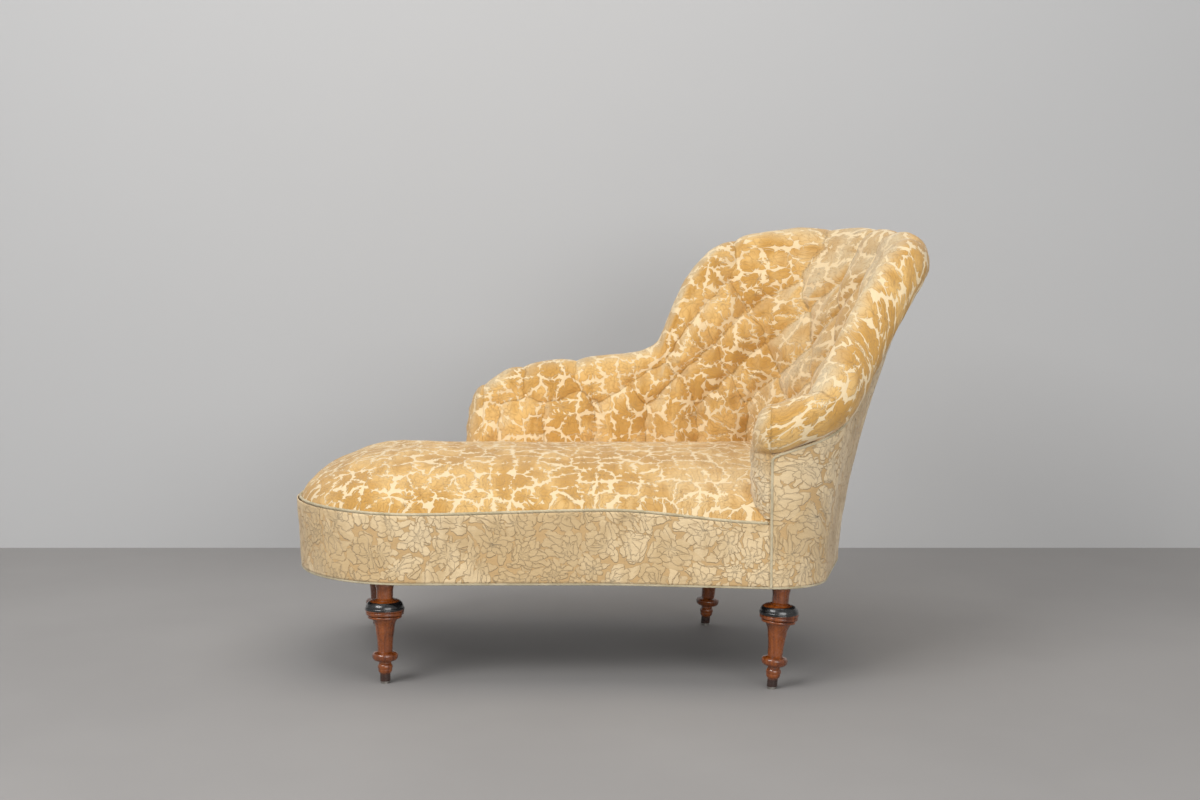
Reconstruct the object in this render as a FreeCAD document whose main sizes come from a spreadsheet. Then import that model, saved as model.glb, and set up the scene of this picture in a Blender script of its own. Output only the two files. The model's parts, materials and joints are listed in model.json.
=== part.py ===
import FreeCAD, Part
import math
import os

# Chaise longue: a sprung seat on four turned legs, with a short near arm, a high flared
# back and a long far arm, deep-buttoned inside.
# +X runs to the head end, +Y to the far side, +Z up. The origin is on the floor under the
# middle of the outer box.

doc = FreeCAD.newDocument("chaise_longue")
sheet = doc.addObject("Spreadsheet::Sheet", "sizes")

# Driving dimensions in millimetres
SIZES = [
    ("centre_shift_x", 14.5, "moves the plan so that the origin is under its middle"),
    ("centre_shift_y", 58.7, "same, across"),
    ("foot_reach_near", 648.0, "foot end corner, near side"),
    ("foot_reach_far", 660.0, "foot end corner, far side"),
    ("waist_reach", 10.0, "where the near side starts to swell"),
    ("head_reach_near", 412.0, "head end corner, near side"),
    ("head_reach_middle", 508.0, "head end at its fullest"),
    ("head_reach_far", 425.0, "head end corner, far side"),
    ("near_half_foot", 283.0, "near side from the plan axis, foot end"),
    ("near_half_waist", 281.0, "near side, waist"),
    ("near_half_head", 330.0, "near side, head end"),
    ("head_middle_offset", 60.0, "fullest point of the head end, off the axis"),
    ("far_half", 312.0, "far side from the plan axis"),
    ("foot_near_round", 255.0, "plan radius"),
    ("waist_round", 900.0, "plan radius, hollow"),
    ("head_near_round", 110.0, "plan radius"),
    ("head_middle_round", 330.0, "plan radius"),
    ("head_far_round", 150.0, "plan radius"),
    ("foot_far_round", 150.0, "plan radius"),
    ("border_bottom", 212.0, "underside of the border above the floor"),
    ("border_height", 138.0, "border from its lower cord to the seat cord"),
    ("border_thick", 4.0, "border cloth with its wadding"),
    ("rail_thick", 22.0, "beech seat rails"),
    ("rail_height", 81.0, "beech seat rails"),
    ("rail_lift", 5.0, "rails above the border's lower edge"),
    ("block_depth", 50.0, "corner blocks, inward"),
    ("block_height", 60.0, "corner blocks"),
    ("block_half_run", 45.0, "corner blocks, each side of the leg"),
    ("leg_inset_near", 38.0, "near leg tops, in from the border"),
    ("leg_inset_far", 46.0, "far leg tops, in from the border"),
    ("tenon_radius", 10.0, "round tenon on top of each leg"),
    ("tenon_height", 45.0, "round tenon on top of each leg"),
    ("tenon_clearance", 0.2, "around the tenon in its block"),
    ("glide_radius", 9.1, "steel glide under each leg"),
    ("glide_thick", 5.0, "steel glide under each leg"),
    ("seat_crown", 104.0, "seat above the border's top edge"),
    ("cord_radius", 4.2, "seat cord"),
    ("gimp_radius", 3.2, "lower cord"),
    ("near_arm_start", 312.0, "near arm's outer front edge along X"),
    ("far_arm_end", 288.0, "far arm's end, toward the foot"),
    ("arm_pad_nose", 40.0, "padding in front of the near arm and behind the far arm"),
    ("frame_outer", 5.0, "back frame, in from the outer cover's face"),
    ("frame_thick", 28.0, "back frame"),
    ("frame_rail_height", 40.0, "top rails of the back frame"),
    ("upright_width", 42.0, "back uprights along the plan"),
    ("cover_thick", 2.5, "outer cover with its lining"),
    ("layer_gap", 0.3, "between layers that only lie on each other"),
    ("wadding", 3.5, "loose wadding between the lining and the tufts"),
    ("brim_gap", 3.0, "between the tufts' upper edge and the roll"),
    ("wall_thick_low", 95.0, "back from outer face to the creases, at the seat"),
    ("wall_thick_high", 73.0, "back from outer face to the creases, under the roll"),
    ("lean_power", 1.55, "how the back's rake grows with height"),
    ("lean_span", 600.0, "height over which the rake is given"),
    ("roll_radius", 48.0, "crest roll"),
    ("roll_centre_depth", 29.0, "crest roll's middle, in from the outer face"),
    ("roll_valley", 6.0, "depth of the pleats over the roll"),
    ("tuft_pitch", 117.0, "between buttons along a row"),
    ("tuft_puff", 24.0, "fullness of each tuft over its creases"),
    ("crease_rise", 5.0, "crease between two buttons, above them"),
]
for number, (alias, value, meaning) in enumerate(SIZES, start=1):
    sheet.set("A%d" % number, alias)
    sheet.set("B%d" % number, str(value))
    sheet.set("C%d" % number, meaning)
    sheet.setAlias("B%d" % number, alias)
doc.recompute()


def size(alias):
    return float(sheet.get(alias))


def vector(x, y, z=0.0):
    return FreeCAD.Vector(x, y, z)


# Plan of the seat: a closed line of arcs joined by tangent straights, run from the foot
# end along the near side. u is the length run along it, depth is measured inward from it.
PLAN_CORNERS = [
    (-size("foot_reach_near"), -size("near_half_foot"), size("foot_near_round")),
    (size("waist_reach"), -size("near_half_waist"), size("waist_round")),
    (size("head_reach_near"), -size("near_half_head"), size("head_near_round")),
    (size("head_reach_middle"), size("head_middle_offset"), size("head_middle_round")),
    (size("head_reach_far"), size("far_half"), size("head_far_round")),
    (-size("foot_reach_far"), size("far_half"), size("foot_far_round")),
]
PLAN_CORNERS = [
    (x - size("centre_shift_x"), y - size("centre_shift_y"), radius)
    for x, y, radius in PLAN_CORNERS
]


def unit(ax, ay, bx, by):
    length = math.hypot(bx - ax, by - ay)
    return (bx - ax) / length, (by - ay) / length


def rounded_plan(corners):
    """Arcs and straights of a rounded polygon, each as a dict, in running order."""
    rounds = []
    count = len(corners)
    for i in range(count):
        x0, y0, _ = corners[i - 1]
        x1, y1, radius = corners[i]
        x2, y2, _ = corners[(i + 1) % count]
        ax, ay = unit(x0, y0, x1, y1)
        bx, by = unit(x1, y1, x2, y2)
        turn = math.atan2(ax * by - ay * bx, ax * bx + ay * by)
        reach = radius * math.tan(abs(turn) / 2)
        side = 1 if turn > 0 else -1
        start = (x1 - ax * reach, y1 - ay * reach)
        end = (x1 + bx * reach, y1 + by * reach)
        centre = (start[0] - ay * radius * side, start[1] + ax * radius * side)
        rounds.append((start, end, centre, radius, turn, side, (bx, by)))
    pieces = []
    for i in range(count):
        start, end, centre, radius, turn, side, heading = rounds[i]
        following = rounds[(i + 1) % count][0]
        first = math.atan2(start[1] - centre[1], start[0] - centre[0])
        pieces.append({"kind": "arc", "centre": centre, "radius": radius, "first": first,
                       "turn": turn, "side": side, "length": radius * abs(turn)})
        run = math.hypot(following[0] - end[0], following[1] - end[1])
        pieces.append({"kind": "line", "start": end, "heading": heading, "length": run})
    return pieces


PLAN = rounded_plan(PLAN_CORNERS)
PLAN_LENGTH = sum(piece["length"] for piece in PLAN)


def plan_at(u):
    """Point and outward normal of the plan line at length u."""
    u %= PLAN_LENGTH
    for piece in PLAN:
        if u <= piece["length"] + 1e-9:
            break
        u -= piece["length"]
    if piece["kind"] == "line":
        hx, hy = piece["heading"]
        return piece["start"][0] + hx * u, piece["start"][1] + hy * u, hy, -hx
    angle = piece["first"] + piece["turn"] * u / piece["length"]
    cx, cy = piece["centre"]
    ca, sa = math.cos(angle), math.sin(angle)
    return (cx + piece["radius"] * ca, cy + piece["radius"] * sa,
            ca * piece["side"], sa * piece["side"])


def plan_u_near(x, y):
    """Length along the plan line of its point nearest to x, y."""
    best_distance, best_u = None, 0.0
    steps = 3000
    for k in range(steps):
        u = PLAN_LENGTH * k / steps
        px, py, _, _ = plan_at(u)
        distance = math.hypot(px - x, py - y)
        if best_distance is None or distance < best_distance:
            best_distance, best_u = distance, u
    return best_u


def plan_spot(x, y):
    """The same for a place given from the plan axis, before the centring shift."""
    return plan_u_near(x - size("centre_shift_x"), y - size("centre_shift_y"))


def plan_run(u_from, u_to, depth):
    """Lines and arcs of the plan line moved inward by depth, from u_from to u_to."""
    edges = []
    start = 0.0
    laps = [piece for _ in range(2) for piece in PLAN]
    for piece in laps:
        end = start + piece["length"]
        a = max(u_from, start)
        b = min(u_to, end)
        if b - a > 1e-6:
            if piece["kind"] == "line":
                edges.append(Part.LineSegment(offset_point(a, depth), offset_point(b, depth)))
            else:
                middle = (a + b) / 2
                edges.append(Part.Arc(offset_point(a, depth), offset_point(middle, depth),
                                      offset_point(b, depth)))
        start = end
    return edges


def offset_point(u, depth, z=0.0):
    x, y, nx, ny = plan_at(u)
    return vector(x - nx * depth, y - ny * depth, z)


def smooth_table(x, table):
    """Smooth curve through the (x, value) pairs of a table, level where it turns."""
    if x <= table[0][0]:
        return table[0][1]
    if x >= table[-1][0]:
        return table[-1][1]
    i = 0
    while table[i + 1][0] < x:
        i += 1

    def slope(k):
        if k == 0 or k == len(table) - 1:
            return 0.0
        before = (table[k][1] - table[k - 1][1]) / (table[k][0] - table[k - 1][0])
        after = (table[k + 1][1] - table[k][1]) / (table[k + 1][0] - table[k][0])
        if before * after <= 0:
            return 0.0
        return 2 * before * after / (before + after)

    run = table[i + 1][0] - table[i][0]
    t = (x - table[i][0]) / run
    return ((2 * t ** 3 - 3 * t * t + 1) * table[i][1]
            + (t ** 3 - 2 * t * t + t) * run * slope(i)
            + (3 * t * t - 2 * t ** 3) * table[i + 1][1]
            + (t ** 3 - t * t) * run * slope(i + 1))


# Back and arms: a raked wall that stands on the plan line from the near arm's front round
# the head end to the far arm's end. Heights of its crest and rakes are given at places on
# the plan, as x, y from the plan axis.
CREST_PLACES = [
    (312, -322, 568), (362, -325, 582), (410, -270, 610), (428, -205, 655),
    (445, -140, 735), (458, -80, 822), (470, -20, 880), (484, 40, 908), (490, 110, 917),
    (400, 300, 917), (375, 312, 912), (310, 312, 896), (244, 312, 866), (200, 312, 822),
    (165, 312, 768), (138, 312, 705), (112, 312, 650), (70, 312, 629), (-100, 312, 613),
    (-230, 312, 597), (-312, 312, 584),
]
RAKE_PLACES = [
    (312, -322, 70), (410, -270, 95), (470, -20, 155), (400, 300, 150), (244, 312, 105),
    (112, 312, 90), (-312, 312, 70),
]
CREST_TABLE = [(plan_spot(x, y), height) for x, y, height in CREST_PLACES]
RAKE_TABLE = [(plan_spot(x, y), rake) for x, y, rake in RAKE_PLACES]
WALL_FROM = plan_spot(size("near_arm_start"), -size("near_half_head"))
WALL_TO = plan_spot(-size("far_arm_end"), size("far_half"))

BORDER_BOTTOM = size("border_bottom")
BORDER_TOP = BORDER_BOTTOM + size("border_height")
RAIL_BOTTOM = BORDER_BOTTOM + size("rail_lift")
RAIL_TOP = RAIL_BOTTOM + size("rail_height")
ROLL = size("roll_radius")
TACK_DROP = ROLL * 0.875
GAP = size("layer_gap")
FRAME_OUTER = size("frame_outer")
FRAME_INNER = FRAME_OUTER + size("frame_thick")


def crest(u):
    return smooth_table(u, CREST_TABLE)


def roll_height(u):
    """Height of the middle of the crest roll."""
    return crest(u) - ROLL


def lean(u, z):
    """How far the back leans out at height z."""
    rise = max(z - BORDER_BOTTOM, 0.0) / size("lean_span")
    return smooth_table(u, RAKE_TABLE) * rise ** size("lean_power")


def wall_point(u, z, depth):
    x, y, nx, ny = plan_at(u)
    out = lean(u, z) - depth
    return vector(x + nx * out, y + ny * out, z)


def crease_depth(u, z):
    """Depth of the sewn creases under the tufts."""
    low, high = size("wall_thick_low"), size("wall_thick_high")
    share = (z - BORDER_TOP) / (roll_height(u) - BORDER_TOP)
    return low + (high - low) * min(max(share, 0.0), 1.0)


parts = []


def keep(feature, label):
    feature.Label = label
    parts.append(feature)
    return feature


def keep_shape(shape, label):
    feature = doc.addObject("Part::Feature", label)
    feature.Shape = shape
    feature.Placement = FreeCAD.Placement()
    return keep(feature, label)


def origin_plane(body, role):
    for feature in body.Origin.OriginFeatures:
        if feature.Role == role:
            return feature


def new_body(label, plane):
    """A body with one empty sketch on the named origin plane."""
    body = doc.addObject("PartDesign::Body", label)
    sketch = body.newObject("Sketcher::SketchObject", label + "_outline")
    sketch.AttachmentSupport = [(origin_plane(body, plane), "")]
    sketch.MapMode = "FlatFace"
    return body, sketch


def pad_body(label, geometry, bottom, height):
    """A flat outline padded up. bottom and height are sheet expressions."""
    body, sketch = new_body(label, "XY_Plane")
    for item in geometry:
        sketch.addGeometry(item, False)
    pad = body.newObject("PartDesign::Pad", label + "_pad")
    pad.Profile = sketch
    pad.setExpression("Length", height)
    body.setExpression("Placement.Base.z", bottom)
    return keep(body, label)


def band_outline(u_from, u_to, depth_out, depth_in):
    """Closed outline between two depths, from one station to another."""
    outer = plan_run(u_from, u_to, depth_out)
    inner = plan_run(u_from, u_to, depth_in)
    ends = [Part.LineSegment(offset_point(u, depth_out), offset_point(u, depth_in))
            for u in (u_from, u_to)]
    return outer + inner + ends


def prism(edges, bottom, top):
    wire = Part.Wire(Part.__sortEdges__([edge.toShape() for edge in edges]))
    wire.translate(vector(0, 0, bottom))
    return Part.Face(wire).extrude(vector(0, 0, top - bottom))


def inset_plan(depth, least_round=40.0):
    """The plan drawn in by depth on every side, with corners that never close up."""
    corners = []
    count = len(PLAN_CORNERS)
    for i in range(count):
        x0, y0, _ = PLAN_CORNERS[i - 1]
        x1, y1, radius = PLAN_CORNERS[i]
        x2, y2, _ = PLAN_CORNERS[(i + 1) % count]
        ax, ay = unit(x0, y0, x1, y1)
        bx, by = unit(x1, y1, x2, y2)
        cross = ax * by - ay * bx
        along = depth * (1 - (ax * bx + ay * by)) / cross
        x = x1 - ay * depth - ax * along
        y = y1 + ax * depth - ay * along
        if cross > 0:
            radius = max(radius - depth, least_round)
        else:
            radius += depth
        corners.append((x, y, radius))
    edges = []
    for piece in rounded_plan(corners):
        if piece["kind"] == "line":
            x, y = piece["start"]
            hx, hy = piece["heading"]
            run = piece["length"]
            edges.append(Part.LineSegment(vector(x, y), vector(x + hx * run, y + hy * run)))
        else:
            spots = []
            for share in (0.0, 0.5, 1.0):
                angle = piece["first"] + piece["turn"] * share
                spots.append(vector(piece["centre"][0] + piece["radius"] * math.cos(angle),
                                    piece["centre"][1] + piece["radius"] * math.sin(angle)))
            edges.append(Part.Arc(*spots))
    return edges


def plan_wire(depth, z):
    wire = Part.Wire([edge.toShape() for edge in inset_plan(depth)])
    wire.translate(vector(0, 0, z))
    return wire


def wall_zone(depth, nose, bottom, top):
    """Room that the arms and back take: outside the plan drawn in by depth."""
    far_reach = 1500.0
    near_x = size("near_arm_start") - nose - size("centre_shift_x")
    far_x = -size("far_arm_end") - nose - size("centre_shift_x")
    near_box = Part.makeBox(far_reach, 2 * far_reach, top - bottom,
                            vector(near_x, -far_reach, bottom))
    far_box = Part.makeBox(far_reach, far_reach, top - bottom, vector(far_x, 0, bottom))
    inside = prism(inset_plan(depth), bottom - 1, top + 1)
    return near_box.fuse(far_box).cut(inside)


# Turned legs
LEG_TOP = RAIL_BOTTOM
LEVEL_SIDE = 200.0
LEVEL_DEEP = 60.0
LEG_NAMES = {
    "leg_foot_near": (-480.0, -1, 0.0, 10.0),
    "leg_head_near": (354.0, -1, -20.0, 10.0),
    "leg_head_far": (246.0, 1, -21.0, 0.0),
    "leg_foot_far": (-553.0, 1, 0.0, 0.0),
}
# Radius and distance below the rail of the turned profile; the last number is the bulge
# of the stretch that ends there, outward if positive. The top stands over the rail's
# underside by a few millimetres, which are cut level when the leg is set at its splay.
SHOULDER_SPARE = 5.0
LEG_PROFILE = [
    (26.7, -SHOULDER_SPARE, 0.0), (26.7, 5.5, 0.0), (24.0, 9.0, 0.0), (20.5, 11.0, 0.0),
    (18.6, 19.0, -0.8), (16.8, 33.0, -0.6), (16.6, 44.5, 0.0), (21.5, 47.0, 0.0),
    (38.6, 62.0, 4.5), (39.0, 67.5, 1.2), (37.0, 70.5, 0.8), (38.2, 73.5, 1.2),
    (35.0, 77.5, 1.4), (32.0, 79.0, 0.0), (34.5, 81.5, 1.0), (32.0, 84.0, 1.0),
    (26.8, 85.0, 0.0), (18.8, 110.0, -2.2), (15.3, 141.0, -0.6), (15.0, 152.0, 0.0),
    (21.0, 154.0, 0.0), (25.9, 163.0, 2.2), (20.0, 171.0, 1.6), (12.4, 174.0, 0.0),
    (12.6, 177.0, 0.0), (14.0, 188.0, 1.9), (10.5, 197.0, 1.4), (10.5, 214.0, 0.0),
]


def leg_place(name):
    """Placement of a leg: its top under the rail, its foot set off by its splay."""
    x, side, foot_dx, foot_out = LEG_NAMES[name]
    half = size("near_half_head") if side < 0 else size("far_half")
    inset = size("leg_inset_near") if side < 0 else size("leg_inset_far")
    u = plan_spot(x, side * half)
    top = offset_point(u, inset, LEG_TOP)
    down = vector(foot_dx, side * foot_out, -LEG_TOP)
    turn = FreeCAD.Rotation(vector(0, 0, -1), down)
    return u, FreeCAD.Placement(top, turn)


def add_leg(name):
    body, sketch = new_body(name + "_turned", "XZ_Plane")
    points = [vector(0, size("tenon_height")), vector(size("tenon_radius"), size("tenon_height")),
              vector(size("tenon_radius"), SHOULDER_SPARE)]
    edges = [Part.LineSegment(points[0], points[1]), Part.LineSegment(points[1], points[2]),
             Part.LineSegment(points[2], vector(LEG_PROFILE[0][0], SHOULDER_SPARE))]
    for (r0, d0, _), (r1, d1, bulge) in zip(LEG_PROFILE, LEG_PROFILE[1:]):
        a, b = vector(r0, -d0), vector(r1, -d1)
        if abs(bulge) < 0.01:
            edges.append(Part.LineSegment(a, b))
        else:
            along = (b - a).normalize()
            outward = vector(-along.y, along.x)
            edges.append(Part.Arc(a, (a + b) * 0.5 + outward * bulge, b))
    last = vector(LEG_PROFILE[-1][0], -LEG_PROFILE[-1][1])
    edges.append(Part.LineSegment(last, vector(0, last.y)))
    edges.append(Part.LineSegment(vector(0, last.y), points[0]))
    for edge in edges:
        sketch.addGeometry(edge, False)
    turning = body.newObject("PartDesign::Revolution", name + "_turning")
    turning.Profile = sketch
    turning.ReferenceAxis = (sketch, ["V_Axis"])
    turning.Angle = 360.0
    body.Placement = leg_place(name)[1]
    return body


def level_cut(name, base, tool):
    cut = doc.addObject("Part::Cut", name)
    cut.Base = base
    cut.Tool = tool
    return cut


def add_leg_and_glide(name):
    """The leg is cut level above its glide and under its rail, round the tenon."""
    glide_name = name.replace("leg", "glide")
    place = leg_place(name)[1]
    foot = place.multVec(vector(0, 0, -LEG_TOP))
    ground = doc.addObject("Part::Box", name + "_ground")
    ground.Length = ground.Width = LEVEL_SIDE
    ground.Height = LEVEL_DEEP
    ground.Placement.Base = vector(foot.x - LEVEL_SIDE / 2, foot.y - LEVEL_SIDE / 2, 0)
    ground.setExpression("Placement.Base.z", "sizes.glide_thick - %g" % LEVEL_DEEP)
    above = doc.addObject("Part::Box", name + "_above")
    above.Length = above.Width = LEVEL_SIDE
    above.Height = LEVEL_DEEP
    above.Placement.Base = place.Base - vector(LEVEL_SIDE / 2, LEVEL_SIDE / 2, place.Base.z)
    above.setExpression("Placement.Base.z", "sizes.border_bottom + sizes.rail_lift")
    tenon = doc.addObject("Part::Cylinder", name + "_tenon")
    tenon.setExpression("Radius", "sizes.tenon_radius")
    tenon.setExpression("Height", "2 * sizes.tenon_height + %g" % (2 * SHOULDER_SPARE))
    tenon.Placement = place.multiply(
        FreeCAD.Placement(vector(0, 0, -size("tenon_height") / 2), FreeCAD.Rotation()))
    waste = level_cut(name + "_waste", above, tenon)
    footed = level_cut(name + "_footed", add_leg(name), ground)
    keep(level_cut(name + "_levelled", footed, waste), name)
    glide = doc.addObject("Part::Cylinder", glide_name + "_nail")
    glide.setExpression("Radius", "sizes.glide_radius")
    glide.setExpression("Height", "sizes.glide_thick")
    glide.Placement = FreeCAD.Placement(vector(foot.x, foot.y, 0), FreeCAD.Rotation())
    keep(glide, glide_name)


for leg_name in LEG_NAMES:
    add_leg_and_glide(leg_name)

# Seat frame: four rails that meet over the legs, with a block behind each joint
leg_u = {name: leg_place(name)[0] for name in LEG_NAMES}
rail_runs = {
    "seat_rail_near": (leg_u["leg_foot_near"], leg_u["leg_head_near"]),
    "seat_rail_head": (leg_u["leg_head_near"], leg_u["leg_head_far"]),
    "seat_rail_far": (leg_u["leg_head_far"], leg_u["leg_foot_far"]),
    "seat_rail_foot": (leg_u["leg_foot_far"], leg_u["leg_foot_near"] + PLAN_LENGTH),
}
RAIL_OUTER = size("border_thick") + 1.0
RAIL_INNER = RAIL_OUTER + size("rail_thick")
for rail_name, (u_from, u_to) in rail_runs.items():
    outline = band_outline(u_from, u_to, RAIL_OUTER, RAIL_INNER)
    pad_body(rail_name, outline, "sizes.border_bottom + sizes.rail_lift", "sizes.rail_height")


def corner_block(name):
    u, place = leg_place(name)
    if u < size("block_half_run"):
        u += PLAN_LENGTH
    half = size("block_half_run")
    outline = band_outline(u - half, u + half, RAIL_INNER, RAIL_INNER + size("block_depth"))
    block = prism(outline, RAIL_BOTTOM, RAIL_BOTTOM + size("block_height"))
    bore = Part.makeCylinder(size("tenon_radius") + size("tenon_clearance"), 120.0)
    bore.translate(vector(0, 0, -60))
    bore.Placement = place.multiply(bore.Placement)
    return block.cut(bore), bore


blocks = {name: corner_block(name) for name in LEG_NAMES}
for leg_name, (block, bore) in blocks.items():
    keep_shape(block, leg_name.replace("leg", "block"))

# Buttons: rows along the inside of the wall, joined by creases in a diamond pattern
ROWS = [516.0, 580.0, 658.0, 730.0, 797.0]
TILT = 0.30
TILT_REACH = 300.0
RUN_STEPS = 800
END_CLEAR = 0.3
ROW_OVER_ROLL = 30.0
ROW_UNDER_BRIM = 14.0
PUFF_AT_SEAT = 6.0
PUFF_AT_BRIM = 8.0
run_u = [WALL_FROM + (WALL_TO - WALL_FROM) * k / RUN_STEPS for k in range(RUN_STEPS + 1)]
run_length = [0.0]
for before, after in zip(run_u, run_u[1:]):
    step = (wall_point(after, ROWS[1], crease_depth(after, ROWS[1]))
            - wall_point(before, ROWS[1], crease_depth(before, ROWS[1]))).Length
    run_length.append(run_length[-1] + step)
RUN_END = run_length[-1]


def u_of_run(length):
    """Station at a given length run along the creases of the second row."""
    length = min(max(length, 0.0), RUN_END)
    low, high = 0, RUN_STEPS
    while high - low > 1:
        middle = (low + high) // 2
        if run_length[middle] <= length:
            low = middle
        else:
            high = middle
    share = (length - run_length[low]) / (run_length[high] - run_length[low])
    return run_u[low] + (run_u[high] - run_u[low]) * share


def run_of_u(u):
    share = (u - WALL_FROM) / (WALL_TO - WALL_FROM) * RUN_STEPS
    low = min(int(share), RUN_STEPS - 1)
    return run_length[low] + (run_length[low + 1] - run_length[low]) * (share - low)


PITCH = size("tuft_pitch")
ANCHOR = run_of_u(plan_spot(340, size("far_half")))
RUN_MIDDLE = run_of_u(plan_spot(490, 60))
HALF_PITCH = PITCH / 2
FIRST_COLUMN = math.ceil((END_CLEAR * PITCH - ANCHOR) / HALF_PITCH) - 1
LAST_COLUMN = math.floor((RUN_END - END_CLEAR * PITCH - ANCHOR) / HALF_PITCH) + 1
COLUMNS = range(FIRST_COLUMN, LAST_COLUMN + 1)
PUFF = size("tuft_puff")
RISE = size("crease_rise")


def column_u(column, z):
    """Station of a column of buttons at height z; the columns fan out toward the top."""
    run = ANCHOR + column * HALF_PITCH
    if column == FIRST_COLUMN:
        return WALL_FROM + 2 * GAP
    if column == LAST_COLUMN:
        return WALL_TO - 2 * GAP
    turn = min(max((run - RUN_MIDDLE) / TILT_REACH, -1.0), 1.0)
    edge = min(1.0, run / PITCH, (RUN_END - run) / PITCH)
    return u_of_run(run - TILT * turn * edge * (z - ROWS[1]))


def top_row(column):
    """Highest row with a button in this column. Odd rows sit in even columns."""
    best = column % 2
    for row in range(column % 2, len(ROWS), 2):
        if ROWS[row] <= roll_height(column_u(column, ROWS[row])) + ROW_OVER_ROLL:
            best = row
    return best


top_rows = {column: top_row(column) for column in COLUMNS}
settled = False
while not settled:
    settled = True
    for column in list(COLUMNS)[1:]:
        left, right = top_rows[column - 1], top_rows[column]
        if right > left + 1:
            top_rows[column] = right - 2
            settled = False
        elif left > right + 1:
            top_rows[column - 1] = left - 2
            settled = False
PAD_BOTTOM = BORDER_TOP + GAP


def pad_top(u):
    """Upper edge of the tufts, square to the roll where the roll climbs."""
    step = 2.0
    rise = (roll_height(u + step) - roll_height(u - step)) / (2 * step)
    return roll_height(u) - size("brim_gap") * math.hypot(1.0, rise)


def node(column, row):
    """Station, height and fullness of a button, or of the pad's edge at this column."""
    if row == "low":
        full = 0.0 if column % 2 == 0 else PUFF_AT_SEAT
        return column_u(column, PAD_BOTTOM), PAD_BOTTOM, full
    if row == "high":
        u = column_u(column, roll_height(column_u(column, ROWS[top_rows[column]])))
        neighbours = [top_rows.get(column - 1, 9), top_rows.get(column + 1, 9)]
        pleated = min(neighbours) < top_rows[column] or column in (FIRST_COLUMN, LAST_COLUMN)
        return u, pad_top(u), 0.0 if pleated else PUFF_AT_BRIM
    height = ROWS[row]
    u = column_u(column, height)
    height = min(height, pad_top(u) - ROW_UNDER_BRIM)
    return u, height, 0.0


# Where the back frame's uprights stand and its rails meet, along the wall
SHOULDER = plan_spot(112, size("far_half"))
HEAD_START = plan_spot(size("head_reach_near") + 8.0, 95.0 - size("near_half_head"))
FAR_SEAM = plan_spot(312, size("far_half"))
HEAD_MIDDLE = plan_spot(size("head_reach_middle") - 18.0, size("head_middle_offset") + 30.0)
FAR_CORNER = plan_spot(330, size("far_half"))
FRAME_SHORT = 6.0
FRAME_FROM = WALL_FROM + FRAME_SHORT
FRAME_TO = WALL_TO - FRAME_SHORT
WIDTH = size("upright_width")
UPRIGHTS = {
    "near_arm_post": FRAME_FROM,
    "back_upright_near": HEAD_START - WIDTH / 2,
    "back_upright_middle": HEAD_MIDDLE - WIDTH / 2,
    "back_upright_far": FAR_CORNER - WIDTH / 2,
    "back_upright_shoulder": SHOULDER - WIDTH / 2,
    "far_arm_post": FRAME_TO - WIDTH,
}
FRAME_PLACES = [WALL_FROM, HEAD_START, FAR_SEAM, SHOULDER, WALL_TO]
FRAME_PLACES += [u for start in UPRIGHTS.values() for u in (start, start + WIDTH)]


# Pleats over the roll, and the marks along the wall where all its layers are drawn: every
# pleat and every joint of the frame, with even steps in between
WALL_STEP = 34.0
PLEAT_HALF = 30.0
PLACES_APART = 6.0
pleats = []
for column in COLUMNS:
    u, _, full = node(column, "high")
    if full == 0.0:
        pleats.append(u)


def even_steps(u_from, u_to, pitch):
    count = max(int(math.ceil((u_to - u_from) / pitch)), 1)
    return [u_from + (u_to - u_from) * k / count for k in range(count + 1)]


def wall_marks():
    fixed = sorted(FRAME_PLACES)
    spare = [u for u in pleats if min(abs(u - v) for v in fixed) > PLACES_APART]
    ends = sorted(fixed + spare)
    marks = [ends[0]]
    for here, there in zip(ends, ends[1:]):
        marks += even_steps(here, there, WALL_STEP)[1:]
    return marks


WALL_MARKS = wall_marks()


def stations(u_from, u_to):
    """The wall's marks between two places, and the two places themselves."""
    return [u_from] + [u for u in WALL_MARKS if u_from + 1 < u < u_to - 1] + [u_to]


def pleat_drop(u):
    """How far the roll's face is drawn in: full in a pleat, not at all between two."""
    reach = min(min(abs(v - u) for v in pleats) / PLEAT_HALF, 1.0)
    return size("roll_valley") * (1.0 - reach) ** 2


# Soft work under the back: outer cover, frame, lining and tufts all follow the wall
def side_arcs(u, bottom, top, depth):
    """The raked curve of one side of the wall, as two arcs."""
    a, b, c, d, e = [wall_point(u, bottom + (top - bottom) * k / 4, depth) for k in range(5)]
    return [Part.Arc(a, b, c), Part.Arc(c, d, e)]


def wall_section(u, bottom, top, depth_out, depth_in):
    edges = side_arcs(u, bottom, top, depth_out) + side_arcs(u, bottom, top, depth_in)
    for z in (bottom, top):
        edges.append(Part.LineSegment(wall_point(u, z, depth_out), wall_point(u, z, depth_in)))
    return Part.Wire(Part.__sortEdges__([edge.toShape() for edge in edges]))


def wall_slab(u_from, u_to, bottom, top, depth_out, depth_in):
    """A layer of the wall. bottom and top are functions of the station."""
    wires = [wall_section(u, bottom(u), top(u), depth_out, depth_in)
             for u in stations(u_from, u_to)]
    return Part.makeLoft(wires, True, True)


def tack_height(u):
    return roll_height(u) - TACK_DROP


def frame_top(u):
    return roll_height(u) - 2 * GAP


def rail_under(u):
    return frame_top(u) - size("frame_rail_height")


keep_shape(wall_slab(WALL_FROM, FAR_SEAM, lambda u: BORDER_BOTTOM, tack_height,
                     0.0, size("cover_thick")), "outer_cover_head")
keep_shape(wall_slab(FAR_SEAM, WALL_TO, lambda u: BORDER_BOTTOM, tack_height,
                     0.0, size("cover_thick")), "outer_cover_far")
pad_body("border_cover", band_outline(WALL_TO, WALL_FROM + PLAN_LENGTH, 0.0, size("border_thick")),
         "sizes.border_bottom", "sizes.border_height")

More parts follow.
